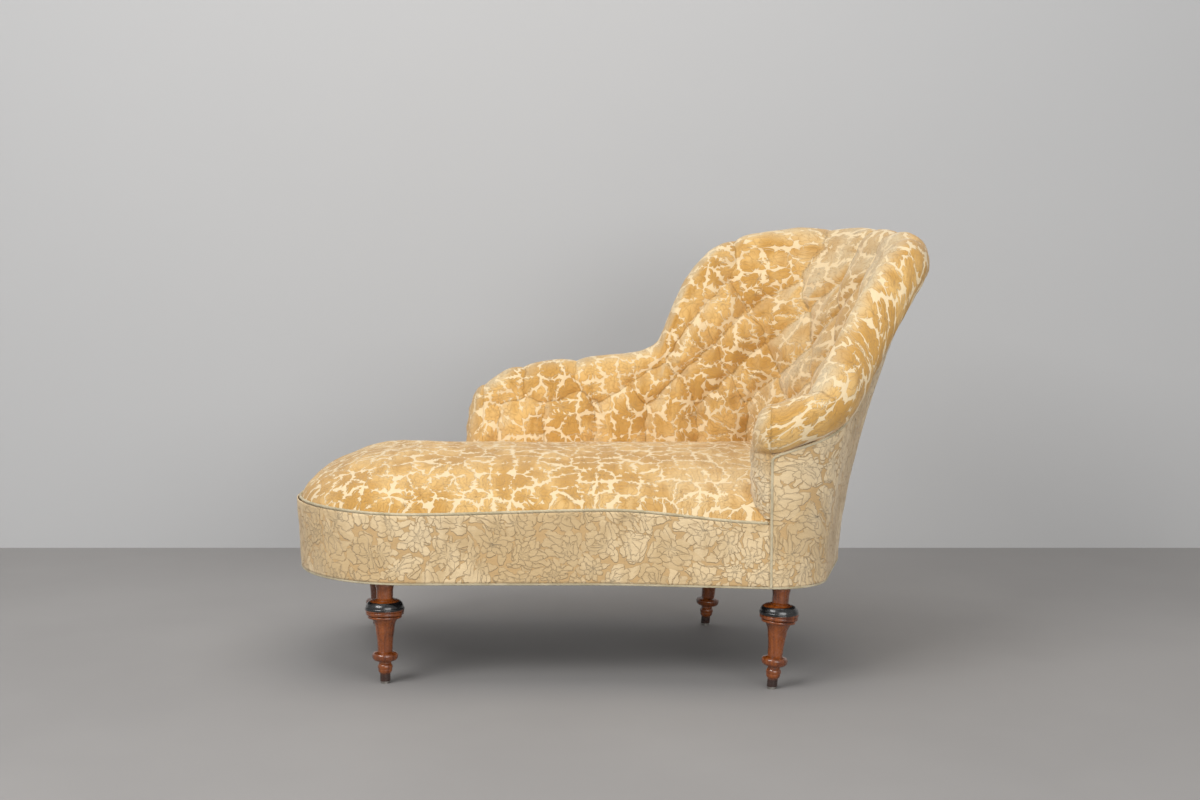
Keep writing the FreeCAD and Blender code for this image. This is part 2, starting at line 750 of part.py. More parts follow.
frame_rails = {
    "near_arm_rail": (FRAME_FROM, HEAD_START),
    "crest_rail": (HEAD_START, SHOULDER),
    "far_arm_rail": (SHOULDER, FRAME_TO),
}
for rail_name, (u_from, u_to) in frame_rails.items():
    keep_shape(wall_slab(u_from, u_to, rail_under, frame_top, FRAME_OUTER, FRAME_INNER), rail_name)

for upright_name, u in UPRIGHTS.items():
    keep_shape(wall_slab(u, u + WIDTH, lambda v: RAIL_TOP, rail_under, FRAME_OUTER, FRAME_INNER),
               upright_name)

tacking = []
starts = list(UPRIGHTS.values())
TACKING_LOW = BORDER_TOP + 14.0
TACKING_HIGH = 34.0
for here, there in zip(starts, starts[1:]):
    tacking.append(wall_slab(here + WIDTH, there, lambda u: TACKING_LOW,
                             lambda u: TACKING_LOW + TACKING_HIGH,
                             FRAME_OUTER, FRAME_INNER))
keep_shape(Part.makeCompound(tacking), "tacking_rails")

LINING = FRAME_INNER + 2 * GAP
LINING_THICK = 1.2
keep_shape(wall_slab(FRAME_FROM, FRAME_TO, lambda u: BORDER_TOP + 2.0, frame_top,
                     LINING, LINING + LINING_THICK), "inner_hessian")


# Crest roll: a stuffed roll over the top rails, pleated where the upper creases run over it
def roll_section(u, drop):
    """Closed section of the roll; drop is how far its face is drawn in by a pleat."""
    middle = roll_height(u)
    face = ROLL - drop
    centre = size("roll_centre_depth")
    x, y, nx, ny = plan_at(u)
    out = lean(u, middle)

    def spot(angle):
        depth = centre + face * math.cos(math.radians(angle))
        return vector(x + nx * (out - depth), y + ny * (out - depth),
                      middle + face * math.sin(math.radians(angle)))

    tack = tack_height(u) + 2 * GAP
    hem = wall_point(u, tack, GAP)
    back = wall_point(u, tack, FRAME_OUTER - GAP)
    under = wall_point(u, middle, FRAME_OUTER - GAP)
    edges = [
        Part.Arc(spot(0), spot(45), spot(90)), Part.Arc(spot(90), spot(135), spot(180)),
        Part.Arc(spot(180), spot(205), hem), Part.LineSegment(hem, back),
        Part.LineSegment(back, under), Part.LineSegment(under, spot(0)),
    ]
    return Part.Wire([edge.toShape() for edge in edges])


for roll_name, (u_from, u_to) in {
    "near_arm_roll": (WALL_FROM, HEAD_START),
    "crest_roll": (HEAD_START, SHOULDER),
    "far_arm_roll": (SHOULDER, WALL_TO),
}.items():
    wires = [roll_section(u, pleat_drop(u)) for u in stations(u_from, u_to)]
    keep_shape(Part.makeLoft(wires, True, True), roll_name)

# Buttoned pad: each tuft between its creases is one puffed patch
PAD_BACK = LINING + LINING_THICK + size("wadding")
SOFT_EDGE = 4.0


def pad_spot(u, z, full, front):
    if front:
        return wall_point(u, z, crease_depth(u, z) + full)
    return wall_point(u, z, PAD_BACK)


def halfway(a, b, kind, front):
    """Middle point of the edge between two nodes; kind says how it is drawn."""
    edge_full = (a[2] + b[2]) / 2 + SOFT_EDGE
    fulls = {"crease": RISE, "edge": edge_full, "brim": edge_full, "soft": PUFF * 0.75}
    u, z = (a[0] + b[0]) / 2, (a[1] + b[1]) / 2
    if kind == "brim":
        z = pad_top(u)
    return pad_spot(u, z, fulls[kind], front)


def pad_patch(corners, kinds, full, front):
    """A puffed four-sided patch: nine points give a surface of the second degree."""
    a, b, c, d = corners
    ends = [pad_spot(*corner, front) for corner in corners]
    sides = [halfway(a, b, kinds[0], front), halfway(b, c, kinds[1], front),
             halfway(d, c, kinds[2], front), halfway(a, d, kinds[3], front)]
    u = sum(corner[0] for corner in corners) / 4
    z = sum(corner[1] for corner in corners) / 4
    heart = pad_spot(u, z, full, front)
    pa, pb, pc, pd = ends
    sab = sides[0] * 2 - (pa + pb) * 0.5
    sbc = sides[1] * 2 - (pb + pc) * 0.5
    sdc = sides[2] * 2 - (pd + pc) * 0.5
    sad = sides[3] * 2 - (pa + pd) * 0.5
    inner = heart * 4 - (pa + pb + pc + pd) * 0.25 - (sab + sbc + sdc + sad) * 0.5
    surface = Part.BezierSurface()
    surface.increase(2, 2)
    poles = [[pa, sad, pd], [sab, inner, sdc], [pb, sbc, pc]]
    for i in range(3):
        for k in range(3):
            surface.setPole(i + 1, k + 1, poles[i][k])
    return surface.toShape()


def edge_curve(a, b, kind, front):
    middle = halfway(a, b, kind, front)
    pa, pb = pad_spot(*a, front), pad_spot(*b, front)
    curve = Part.BezierCurve()
    curve.setPoles([pa, middle * 2 - (pa + pb) * 0.5, pb])
    return curve.toShape()


def pad_cells():
    """Corner nodes, edge kinds and fullness of every patch, and the pad's outer edges."""
    cells = []
    border = []
    columns = list(COLUMNS)
    for left, right in zip(columns, columns[1:]):
        low_l, low_r = node(left, "low"), node(right, "low")
        first_l, first_r = left % 2, right % 2
        a, b = node(left, first_l), node(right, first_r)
        kind_l = "crease" if left % 2 == 0 else "soft"
        kind_r = "crease" if right % 2 == 0 else "soft"
        if left == FIRST_COLUMN:
            kind_l = "edge"
        if right == LAST_COLUMN:
            kind_r = "edge"
        cells.append(((low_l, low_r, b, a), ("edge", kind_r, "crease", kind_l), PUFF * 0.7))
        border.append((low_l, low_r, "edge"))
        top_l, top_r = node(left, top_rows[left]), node(right, top_rows[right])
        high_l, high_r = node(left, "high"), node(right, "high")
        up_l = "edge" if high_l[2] == 0.0 else "soft"
        up_r = "edge" if high_r[2] == 0.0 else "soft"
        cells.append(((top_l, top_r, high_r, high_l), ("crease", up_r, "brim", up_l), PUFF * 0.6))
        border.append((high_l, high_r, "brim"))
    for column in columns[1:-1]:
        for row in range(1 + column % 2, len(ROWS) - 1, 2):
            if row + 1 > top_rows[column]:
                continue
            if row > top_rows[column - 1] or row > top_rows[column + 1]:
                continue
            diamond = (node(column, row - 1), node(column + 1, row),
                       node(column, row + 1), node(column - 1, row))
            cells.append((diamond, ("crease",) * 4, PUFF))
    for column in (columns[0], columns[-1]):
        chain = [node(column, "low")]
        rows = range(column % 2, top_rows[column] + 1, 2)
        chain += [node(column, row) for row in rows]
        chain.append(node(column, "high"))
        for a, b in zip(chain, chain[1:]):
            border.append((a, b, "edge"))
    return cells, border


def pad_solid():
    cells, border = pad_cells()
    faces = []
    for corners, kinds, full in cells:
        faces.append(pad_patch(corners, kinds, full, True))
        faces.append(pad_patch(corners, kinds, full, False))
    for a, b, kind in border:
        faces.append(Part.makeRuledSurface(edge_curve(a, b, kind, True),
                                           edge_curve(a, b, kind, False)))
    skin = Part.makeCompound(faces)
    skin.sewShape(1e-4)
    shell = skin.Shells[0]
    print("pad", len(cells), "patches,", len(skin.Shells), "shell, closed", shell.isClosed())
    solid = Part.Solid(shell)
    if solid.Volume < 0:
        solid.reverse()
    return solid


keep_shape(pad_solid(), "buttoned_pad")

# Rounded ends of the arms: padding that wraps round the end of each arm
# Height above its foot, reach and the two depths it spans are given at each level
def arm_nose(u_end, direction, room=0.0):
    """direction is -1 in front of the near arm and 1 beyond the far arm's end; room is
    added all round, for what the nose pushes into."""
    middle = roll_height(u_end)
    reach = size("arm_pad_nose")
    start = u_end + direction * (GAP if room == 0.0 else -room)
    centre = size("roll_centre_depth")
    low, high = size("wall_thick_low"), size("wall_thick_high")
    levels = [
        (PAD_BOTTOM - room, 0.16, 1.0, low - 1), (PAD_BOTTOM + 40, 0.72, 1.0, low - 4),
        (PAD_BOTTOM + 90, 1.0, 0.0, low - 9), (middle - ROLL * 0.7, 1.0, 0.0, high + 3),
        (middle, 0.98, centre - ROLL, centre + ROLL),
        (middle + ROLL * 0.55, 0.74, centre - ROLL * 0.82, centre + ROLL * 0.82),
        (middle + ROLL * 0.93, 0.22, centre - ROLL * 0.33, centre + ROLL * 0.33),
    ]
    wires = []
    for z, share, outer, inner in levels:
        x, y, nx, ny = plan_at(start)
        out = lean(start, min(z, middle))
        hx, hy = -ny * direction, nx * direction

        def spot(depth, along):
            return vector(x + nx * (out - depth) + hx * along,
                          y + ny * (out - depth) + hy * along, z)

        tip = spot((outer + inner) / 2, reach * share + room)
        arc = Part.Arc(spot(outer - room, 0), tip, spot(inner + room, 0))
        chord = Part.LineSegment(spot(inner + room, 0), spot(outer - room, 0))
        wires.append(Part.Wire([arc.toShape(), chord.toShape()]))
    return Part.makeLoft(wires, True, True)


keep_shape(arm_nose(WALL_FROM, -1), "near_arm_front")
keep_shape(arm_nose(WALL_TO, 1), "far_arm_front")


# Cords
def round_cord(u_from, u_to, depth, z, radius):
    path = Part.Wire([edge.toShape() for edge in plan_run(u_from, u_to, depth)])
    path.translate(vector(0, 0, z))
    start = path.OrderedVertexes[0].Point
    _, _, nx, ny = plan_at(u_from)
    ring = Part.Wire([Part.Circle(start, vector(-ny, nx, 0), radius).toShape()])
    return path.makePipeShell([ring], True, False)


CORD = size("cord_radius")
GIMP = size("gimp_radius")
CORD_CLEAR = 10.0
keep_shape(round_cord(WALL_TO + CORD_CLEAR, WALL_FROM + PLAN_LENGTH - CORD_CLEAR, 1.0,
                      BORDER_TOP + CORD + GAP, CORD), "seat_cord")
gimp_halves = [round_cord(a, b, GIMP, BORDER_BOTTOM - GIMP - GAP, GIMP)
               for a, b in ((WALL_FROM, WALL_TO), (WALL_TO, WALL_FROM + PLAN_LENGTH))]
keep_shape(Part.makeCompound(gimp_halves), "lower_cord")


CORD_CORNER = 14.0
CORD_LEVELS = 6


def cord_loft(points, radius, sides=8):
    """A cord along a line in space, as straight runs between many-sided rings."""
    rings = []
    for i, point in enumerate(points):
        before = points[max(i - 1, 0)]
        after = points[min(i + 1, len(points) - 1)]
        along = (after - before).normalize()
        across = along.cross(vector(0, 0, 1))
        if across.Length < 0.2:
            _, _, nx, ny = plan_at(WALL_FROM if i < len(points) / 2 else WALL_TO)
            across = along.cross(vector(nx, ny, 0))
        across.normalize()
        other = along.cross(across)
        corners = []
        for k in range(sides):
            angle = 2 * math.pi * k / sides
            corners.append(point + across * (radius * math.cos(angle))
                           + other * (radius * math.sin(angle)))
        rings.append(Part.makePolygon(corners + corners[:1]))
    return Part.makeLoft(rings, True, True)


def under_roll(u):
    """Height of the cord's middle where it lies close under the hem of the roll."""
    step = 2.0
    rise = (tack_height(u + step) - tack_height(u - step)) / (2 * step)
    return tack_height(u) - GIMP * math.hypot(1.0, rise) - GAP


def outer_cord_line():
    """Up the near arm's front edge, along under the roll, and down the far arm's end."""
    off = -GIMP - 2 * GAP
    low = BORDER_BOTTOM
    first, last = WALL_FROM + GIMP + GAP, WALL_TO - GIMP - GAP
    points = []
    top_near = under_roll(first) - CORD_CORNER
    top_far = under_roll(last) - CORD_CORNER
    for k in range(CORD_LEVELS):
        points.append(wall_point(first, low + (top_near - low) * k / (CORD_LEVELS - 1), off))
    cut = CORD_CORNER * 0.3
    points.append(wall_point(first + cut, under_roll(first) - cut, off))
    for u in stations(first + CORD_CORNER, last - CORD_CORNER):
        points.append(wall_point(u, under_roll(u), off))
    points.append(wall_point(last - cut, under_roll(last) - cut, off))
    for k in range(CORD_LEVELS):
        points.append(wall_point(last, top_far - (top_far - low) * k / (CORD_LEVELS - 1), off))
    return points


keep_shape(cord_loft(outer_cord_line(), GIMP), "outer_back_cord")

# Seat: webbing and springs under a stuffed pad and a domed, close-covered top
STRAP_WIDE = 50.0
STRAP_THICK = 1.5
STRAP_INSET = 8.0
STRAP_PITCH = 88.0
CROSS_STRAPS = 12
LONG_STRAPS = 5
FIRST_CROSS = -585.0
FIRST_LONG = -222.0
LEG_ROOM = 2.5


def leg_room(name, z):
    """Upright hole round a leg's top, for the webbing and the bottom cloth."""
    top = leg_place(name)[1].Base
    return Part.makeCylinder(LEG_PROFILE[0][0] + LEG_ROOM, 40, vector(top.x, top.y, z - 20))


def strap_group(bottom, boxes):
    limit = prism(inset_plan(STRAP_INSET), bottom, bottom + STRAP_THICK)
    for leg_name in LEG_NAMES:
        limit = limit.cut(leg_room(leg_name, bottom))
    return Part.makeCompound([limit.common(box) for box in boxes])


def strap_box(x, y, bottom, lengthwise):
    reach = 1500.0
    if lengthwise:
        return Part.makeBox(2 * reach, STRAP_WIDE, STRAP_THICK,
                            vector(-reach, y - STRAP_WIDE / 2, bottom))
    return Part.makeBox(STRAP_WIDE, 2 * reach, STRAP_THICK,
                        vector(x - STRAP_WIDE / 2, -reach, bottom))


UPPER_STRAPS = RAIL_BOTTOM - STRAP_THICK
LOWER_STRAPS = UPPER_STRAPS - STRAP_THICK
cross_boxes = [strap_box(FIRST_CROSS + STRAP_PITCH * k, 0, UPPER_STRAPS, False)
               for k in range(CROSS_STRAPS)]
long_boxes = [strap_box(0, FIRST_LONG + STRAP_PITCH * k, LOWER_STRAPS, True)
              for k in range(LONG_STRAPS)]
keep_shape(strap_group(UPPER_STRAPS, cross_boxes), "webbing_across")
keep_shape(strap_group(LOWER_STRAPS, long_boxes), "webbing_along")

CLOTH_THICK = 1.0
CLOTH_BOTTOM = LOWER_STRAPS - CLOTH_THICK - GAP
cloth = prism(inset_plan(RAIL_OUTER), CLOTH_BOTTOM, CLOTH_BOTTOM + CLOTH_THICK)
for leg_name in LEG_NAMES:
    cloth = cloth.cut(leg_room(leg_name, CLOTH_BOTTOM))
keep_shape(cloth, "bottom_cloth")

CAVITY_INSET = 78.0
DECK = BORDER_TOP - 17.0
stuffing = prism(inset_plan(RAIL_OUTER), RAIL_TOP + GAP, BORDER_TOP)
stuffing = stuffing.cut(prism(inset_plan(CAVITY_INSET), RAIL_TOP - 5, DECK))
stuffing = stuffing.cut(wall_zone(FRAME_INNER + GAP, -5.0, RAIL_TOP - 5, BORDER_TOP + 5))
keep_shape(stuffing, "seat_stuffing")
HESSIAN_THICK = 1.0
HESSIAN_BOTTOM = DECK - GAP - HESSIAN_THICK
keep_shape(prism(inset_plan(CAVITY_INSET + GAP), HESSIAN_BOTTOM, HESSIAN_BOTTOM + HESSIAN_THICK),
           "spring_hessian")

# Depth from the seat's edge and height as a share of the crown
CROWN_PROFILE = [
    (6.0, 0.0), (7.5, 0.15), (20.0, 0.33), (47.0, 0.49), (74.0, 0.62), (114.0, 0.785),
    (140.0, 0.86), (166.0, 0.92),
]
CROWN = size("seat_crown")
BACK_CLEAR = 17.0
NOSE_CLEAR = 2.0
crown_wires = [plan_wire(depth, PAD_BOTTOM + share * CROWN) for depth, share in CROWN_PROFILE]
dome = Part.makeLoft(crown_wires, True, False)
back_room = wall_slab(WALL_FROM, WALL_TO, lambda u: BORDER_TOP - CROWN,
                      lambda u: BORDER_TOP + 2 * CROWN, -ROLL, size("wall_thick_low") + BACK_CLEAR)
dome = dome.cut(back_room)
for u_end, direction in ((WALL_FROM, -1), (WALL_TO, 1)):
    dome = dome.cut(arm_nose(u_end, direction, NOSE_CLEAR))
keep_shape(dome, "seat_cushion")

doc.recompute()

# Check every part and write it out
failed = []
for item in doc.Objects:
    if "Invalid" in item.State or "Error" in item.State:
        failed.append(item.Label)
for item in parts:
    if item.Shape.isNull() or not item.Shape.isValid():
        failed.append(item.Label)
if failed:
    raise RuntimeError("not sound: " + ", ".join(sorted(set(failed))))
os.makedirs("parts", exist_ok=True)
for item in parts:
    item.Shape.exportStep("parts/%s.step" % item.Label)
print(len(parts), "parts written")
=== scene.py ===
import json
import math

import bpy
import numpy as np
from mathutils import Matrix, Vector, noise


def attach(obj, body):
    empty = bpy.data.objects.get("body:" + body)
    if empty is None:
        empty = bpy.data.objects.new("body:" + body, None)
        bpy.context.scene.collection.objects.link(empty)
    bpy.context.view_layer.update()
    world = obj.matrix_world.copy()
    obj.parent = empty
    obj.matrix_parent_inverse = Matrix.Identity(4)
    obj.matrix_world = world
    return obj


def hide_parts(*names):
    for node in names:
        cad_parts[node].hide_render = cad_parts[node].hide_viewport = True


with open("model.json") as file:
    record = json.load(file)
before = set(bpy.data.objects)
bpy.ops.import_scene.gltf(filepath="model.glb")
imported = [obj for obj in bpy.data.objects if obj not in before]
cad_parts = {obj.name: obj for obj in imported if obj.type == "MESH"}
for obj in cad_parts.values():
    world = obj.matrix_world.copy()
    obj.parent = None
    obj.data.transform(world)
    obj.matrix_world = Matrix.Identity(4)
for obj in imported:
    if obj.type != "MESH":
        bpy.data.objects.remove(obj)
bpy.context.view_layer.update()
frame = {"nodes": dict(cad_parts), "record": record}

# The chaise longue's plan and wall, in metres, as its construction has them
CENTRE_SHIFT = (0.0145, 0.0587)
# Corners of the plan line round the seat: x, y and rounding
PLAN_CORNERS = [
    (-0.648, -0.283, 0.255), (0.010, -0.281, 0.900), (0.412, -0.330, 0.110),
    (0.508, 0.060, 0.330), (0.425, 0.312, 0.150), (-0.660, 0.312, 0.150),
]
# Top of the back's roll: x, y on the plan and height over the floor. It dips at the far
# arm's end, where the roll is rounded off
CREST_PLACES = [
    (0.312, -0.322, 0.568), (0.362, -0.325, 0.582), (0.410, -0.270, 0.610),
    (0.428, -0.205, 0.655), (0.445, -0.140, 0.735), (0.458, -0.080, 0.822),
    (0.470, -0.020, 0.880), (0.484, 0.040, 0.901), (0.490, 0.110, 0.908),
    (0.400, 0.300, 0.917), (0.375, 0.312, 0.912), (0.310, 0.312, 0.896),
    (0.244, 0.312, 0.866), (0.200, 0.312, 0.822), (0.165, 0.312, 0.768),
    (0.138, 0.312, 0.705), (0.112, 0.312, 0.650), (0.070, 0.312, 0.629),
    (-0.100, 0.312, 0.613), (-0.165, 0.312, 0.606), (-0.212, 0.312, 0.597),
    (-0.250, 0.312, 0.580), (-0.275, 0.312, 0.563), (-0.292, 0.312, 0.550),
]
# How far the wall leans out at its full height: x, y on the plan and lean
RAKE_PLACES = [
    (0.312, -0.322, 0.070), (0.410, -0.270, 0.095), (0.470, -0.020, 0.155),
    (0.400, 0.300, 0.150), (0.244, 0.312, 0.105), (0.112, 0.312, 0.090),
    (-0.312, 0.312, 0.070),
]
ARM_START = (0.312, -0.330)
ARM_END = (-0.288, 0.312)
FAR_SEAM_PLACE = (0.312, 0.312)
BORDER_BOTTOM, BORDER_TOP = 0.212, 0.350
# The lean grows from nothing at the border's foot to its full amount this much higher
LEAN_SPAN, LEAN_POWER = 0.600, 1.55
# Depth of the creases in from the wall's outer face, at the seat and under the roll
THICK_LOW, THICK_HIGH = 0.095, 0.073
# Radius of the roll over the wall, and its middle's depth in from the outer face
ROLL_RADIUS, ROLL_DEPTH = 0.048, 0.029
# How far under the roll's middle the covers are tacked
TACK_DROP = 0.042
# Height of the seat's dome over the border
CROWN = 0.104
PLAN_STEP = 0.0005


def unit(a, b):
    """Direction from a to b on the plan."""
    length = math.hypot(b[0] - a[0], b[1] - a[1])
    return (b[0] - a[0]) / length, (b[1] - a[1]) / length


def plan_table(corners):
    """The rounded plan line as rows of x, y and outward normal, one every PLAN_STEP."""
    corners = [(x - CENTRE_SHIFT[0], y - CENTRE_SHIFT[1], r) for x, y, r in corners]
    count = len(corners)
    rounds = []
    for i in range(count):
        here = corners[i]
        ax, ay = unit(corners[i - 1], here)
        bx, by = unit(here, corners[(i + 1) % count])
        turn = math.atan2(ax * by - ay * bx, ax * bx + ay * by)
        radius = here[2]
        reach = radius * math.tan(abs(turn) / 2)
        side = 1 if turn > 0 else -1
        start = (here[0] - ax * reach, here[1] - ay * reach)
        end = (here[0] + bx * reach, here[1] + by * reach)
        centre = (start[0] - ay * radius * side, start[1] + ax * radius * side)
        rounds.append((start, end, centre, radius, turn, side, (bx, by)))
    rows = []
    for i in range(count):
        start, end, centre, radius, turn, side, heading = rounds[i]
        first = math.atan2(start[1] - centre[1], start[0] - centre[0])
        many = max(int(radius * abs(turn) / PLAN_STEP), 1)
        for k in range(many):
            angle = first + turn * k / many
            nx, ny = math.cos(angle) * side, math.sin(angle) * side
            rows.append((centre[0] + radius * side * nx, centre[1] + radius * side * ny, nx, ny))
        following = rounds[(i + 1) % count][0]
        run = math.hypot(following[0] - end[0], following[1] - end[1])
        many = max(int(run / PLAN_STEP), 1)
        for k in range(many):
            gone = run * k / many
            rows.append((end[0] + heading[0] * gone, end[1] + heading[1] * gone,
                         heading[1], -heading[0]))
    return np.array(rows)


PLAN = plan_table(PLAN_CORNERS)
PLAN_STEPS = np.hypot(*(np.roll(PLAN, -1, axis=0)[:, :2] - PLAN[:, :2]).T)
PLAN_U = np.concatenate([[0.0], np.cumsum(PLAN_STEPS)[:-1]])
PLAN_LENGTH = float(PLAN_STEPS.sum())


def plan_at(u):
    """x, y and outward normal at lengths u along the plan line."""
    u = np.mod(u, PLAN_LENGTH)
    ends = np.append(PLAN_U, PLAN_LENGTH)
    return [np.interp(u, ends, np.append(PLAN[:, k], PLAN[0, k])) for k in range(4)]


def plan_spot(x, y):
    """Length along the plan line of its place nearest to x, y."""
    gaps = np.hypot(PLAN[:, 0] - (x - CENTRE_SHIFT[0]), PLAN[:, 1] - (y - CENTRE_SHIFT[1]))
    return float(PLAN_U[int(gaps.argmin())])


def smooth_table(x, table):
    """Smooth curve through the (x, value) pairs of a table, level where it turns."""
    xs = np.array([row[0] for row in table])
    ys = np.array([row[1] for row in table])
    rises = np.diff(ys) / np.diff(xs)
    slopes = np.zeros(len(xs))
    for k in range(1, len(xs) - 1):
        if rises[k - 1] * rises[k] > 0:
            slopes[k] = 2 * rises[k - 1] * rises[k] / (rises[k - 1] + rises[k])
    x = np.clip(x, xs[0], xs[-1])
    i = np.clip(np.searchsorted(xs, x, side="right") - 1, 0, len(xs) - 2)
    run = xs[i + 1] - xs[i]
    t = (x - xs[i]) / run
    return ((2 * t ** 3 - 3 * t * t + 1) * ys[i] + (t ** 3 - 2 * t * t + t) * run * slopes[i]
            + (3 * t * t - 2 * t ** 3) * ys[i + 1] + (t ** 3 - t * t) * run * slopes[i + 1])


CREST_TABLE = [(plan_spot(x, y), z) for x, y, z in CREST_PLACES]
RAKE_TABLE = [(plan_spot(x, y), rake) for x, y, rake in RAKE_PLACES]
WALL_FROM, WALL_TO = plan_spot(*ARM_START), plan_spot(*ARM_END)


def roll_height(u):
    """Height of the roll's middle."""
    return smooth_table(u, CREST_TABLE) - ROLL_RADIUS


def lean(u, z):
    """How far the wall's outer face stands out over the plan line at a height."""
    rise = np.maximum(z - BORDER_BOTTOM, 0.0) / LEAN_SPAN
    return smooth_table(u, RAKE_TABLE) * rise ** LEAN_POWER


def wall(u, z, depth, lean_z=None):
    """Points of the raked wall at stations u, heights z and depths in from its outer face."""
    u, z, depth = np.broadcast_arrays(u, z, depth)
    x, y, nx, ny = plan_at(u)
    out = lean(u, z if lean_z is None else lean_z) - depth
    return np.stack([x + nx * out, y + ny * out, z], axis=-1)


def crease_depth(u, z):
    """Depth of the creases in from the wall's outer face at a height."""
    share = np.clip((z - BORDER_TOP) / (roll_height(u) - BORDER_TOP), 0.0, 1.0)
    return THICK_LOW + (THICK_HIGH - THICK_LOW) * share


# Buttons: rows along the inside of the wall, joined by creases in a diamond pattern
ROWS = [0.516, 0.580, 0.658, 0.730, 0.797]
PITCH = 0.117
# The columns fan out from the middle of the head end
TILT, TILT_REACH = 0.30, 0.300
# Share of a pitch kept clear of buttons at each end of the run
END_CLEAR = 0.3
ROW_OVER_ROLL, ROW_UNDER_BRIM = 0.030, 0.017
# The run is the length along the creases, from the near arm's end to the far arm's
RUN_PARTS = 801
RUN_U = np.linspace(WALL_FROM, WALL_TO, RUN_PARTS)
RUN_SPOTS = wall(RUN_U, ROWS[1], crease_depth(RUN_U, ROWS[1]))
RUN = np.concatenate([[0.0], np.cumsum(np.linalg.norm(np.diff(RUN_SPOTS, axis=0), axis=1))])
RUN_END = float(RUN[-1])


def run_of(u):
    """Length along the run at a length u along the plan line."""
    return np.interp(u, RUN_U, RUN)


ANCHOR_PLACE, MIDDLE_PLACE = (0.340, 0.312), (0.490, 0.060)
ANCHOR = float(run_of(plan_spot(*ANCHOR_PLACE)))
RUN_MIDDLE = float(run_of(plan_spot(*MIDDLE_PLACE)))
FIRST_COLUMN = math.ceil((END_CLEAR * PITCH - ANCHOR) / (PITCH / 2)) - 1
LAST_COLUMN = math.floor((RUN_END - END_CLEAR * PITCH - ANCHOR) / (PITCH / 2)) + 1


def column_u(column, z):
    """Length along the plan line of a column of buttons at a height."""
    run = ANCHOR + column * PITCH / 2
    turn = min(max((run - RUN_MIDDLE) / TILT_REACH, -1.0), 1.0)
    edge = min(1.0, run / PITCH, (RUN_END - run) / PITCH)
    return float(np.interp(run - TILT * turn * edge * (z - ROWS[1]), RUN, RUN_U))


def top_row(column):
    """Highest row that has a button in a column; even and odd columns take turns."""
    best = column % 2
    for row in range(column % 2, len(ROWS), 2):
        if ROWS[row] <= roll_height(column_u(column, ROWS[row])) + ROW_OVER_ROLL:
            best = row
    return best


COLUMNS = range(FIRST_COLUMN, LAST_COLUMN + 1)
TOP_ROWS = {column: top_row(column) for column in COLUMNS}
# Columns side by side end one row apart
settled = False
while not settled:
    settled = True
    for column in list(COLUMNS)[1:]:
        left, right = TOP_ROWS[column - 1], TOP_ROWS[column]
        if right > left + 1:
            TOP_ROWS[column] = right - 2
            settled = False
        elif left > right + 1:
            TOP_ROWS[column - 1] = left - 2
            settled = False
BUTTON_COLUMNS = [column for column in COLUMNS if column not in (FIRST_COLUMN, LAST_COLUMN)]


def button(column, row):
    """Run along the wall and height of one button."""
    u = column_u(column, ROWS[row])
    return float(run_of(u)), min(ROWS[row], float(roll_height(u)) - ROW_UNDER_BRIM)


# Height where the tufted face starts, below the seat's dome
FACE_FROM = 0.385
# How far a pleat runs over the roll, in roll radii
PLEAT_OVER = 2.75
NO_ROW = 9


def crease_lines():
    """Every crease as (run, height) ends; heights over the roll are measured along it."""
    lines = []
    for column in BUTTON_COLUMNS:
        for row in range(column % 2, TOP_ROWS[column] + 1, 2):
            for beside in (column - 1, column + 1):
                if beside in BUTTON_COLUMNS and row + 1 <= TOP_ROWS[beside]:
                    lines.append((button(column, row), button(beside, row + 1)))
                if beside in BUTTON_COLUMNS and row == TOP_ROWS[column] and row > 0:
                    if row - 1 <= TOP_ROWS[beside]:
                        lines.append((button(column, row), button(beside, row - 1)))
        if column % 2 == 0:
            low = button(column, 0)
            lines.append((low, (low[0], FACE_FROM)))
        beside_rows = [TOP_ROWS.get(column - 1, NO_ROW), TOP_ROWS.get(column + 1, NO_ROW)]
        if min(beside_rows) < TOP_ROWS[column] or column % 2 == TOP_ROWS[column] % 2:
            if max(row for row in beside_rows if row < NO_ROW) <= TOP_ROWS[column]:
                top = button(column, TOP_ROWS[column])
                u = column_u(column, roll_height(column_u(column, ROWS[TOP_ROWS[column]])))
                middle = float(roll_height(u))
                run = float(run_of(u))
                lines.append((top, (run, middle)))
                lines.append(((run, middle), (run, middle + ROLL_RADIUS * PLEAT_OVER)))
    return sorted(set(lines))


CREASES = crease_lines()
BUTTONS = [button(column, row) for column in BUTTON_COLUMNS
           for row in range(column % 2, TOP_ROWS[column] + 1, 2)]
# Farther than any crease
FAR_OFF = 9.0


def crease_gaps(run, height):
    """Distance to the nearest crease, and how far along it from its nearer end (0 to 1)."""
    best = np.full(run.shape, FAR_OFF)
    along = np.zeros(run.shape)
    for (ax, ay), (bx, by) in CREASES:
        dx, dy = bx - ax, by - ay
        t = np.clip(((run - ax) * dx + (height - ay) * dy) / (dx * dx + dy * dy), 0.0, 1.0)
        gap = np.hypot(run - ax - t * dx, height - ay - t * dy)
        nearer = gap < best
        best = np.where(nearer, gap, best)
        along = np.where(nearer, 1.0 - np.abs(2 * t - 1), along)
    return best, along


# Creases drawn by hand wander: waves along the run and up the wall, as the change with the
# run, the change with the height, the phase and the share
WANDER = 0.0045
WANDER_ALONG = [(23.0, 71.0, 0.0, 1.0), (-57.0, 150.0, 1.3, 0.6)]
WANDER_UP = [(63.0, 31.0, 0.7, 1.0), (140.0, 0.0, 2.1, 0.5)]


def slow_waves(run, height, waves):
    """Sum of waves over the wall, between -1 and 1."""
    total = sum(share * np.sin(run * along + height * up + phase)
                for along, up, phase, share in waves)
    return total / sum(wave[3] for wave in waves)


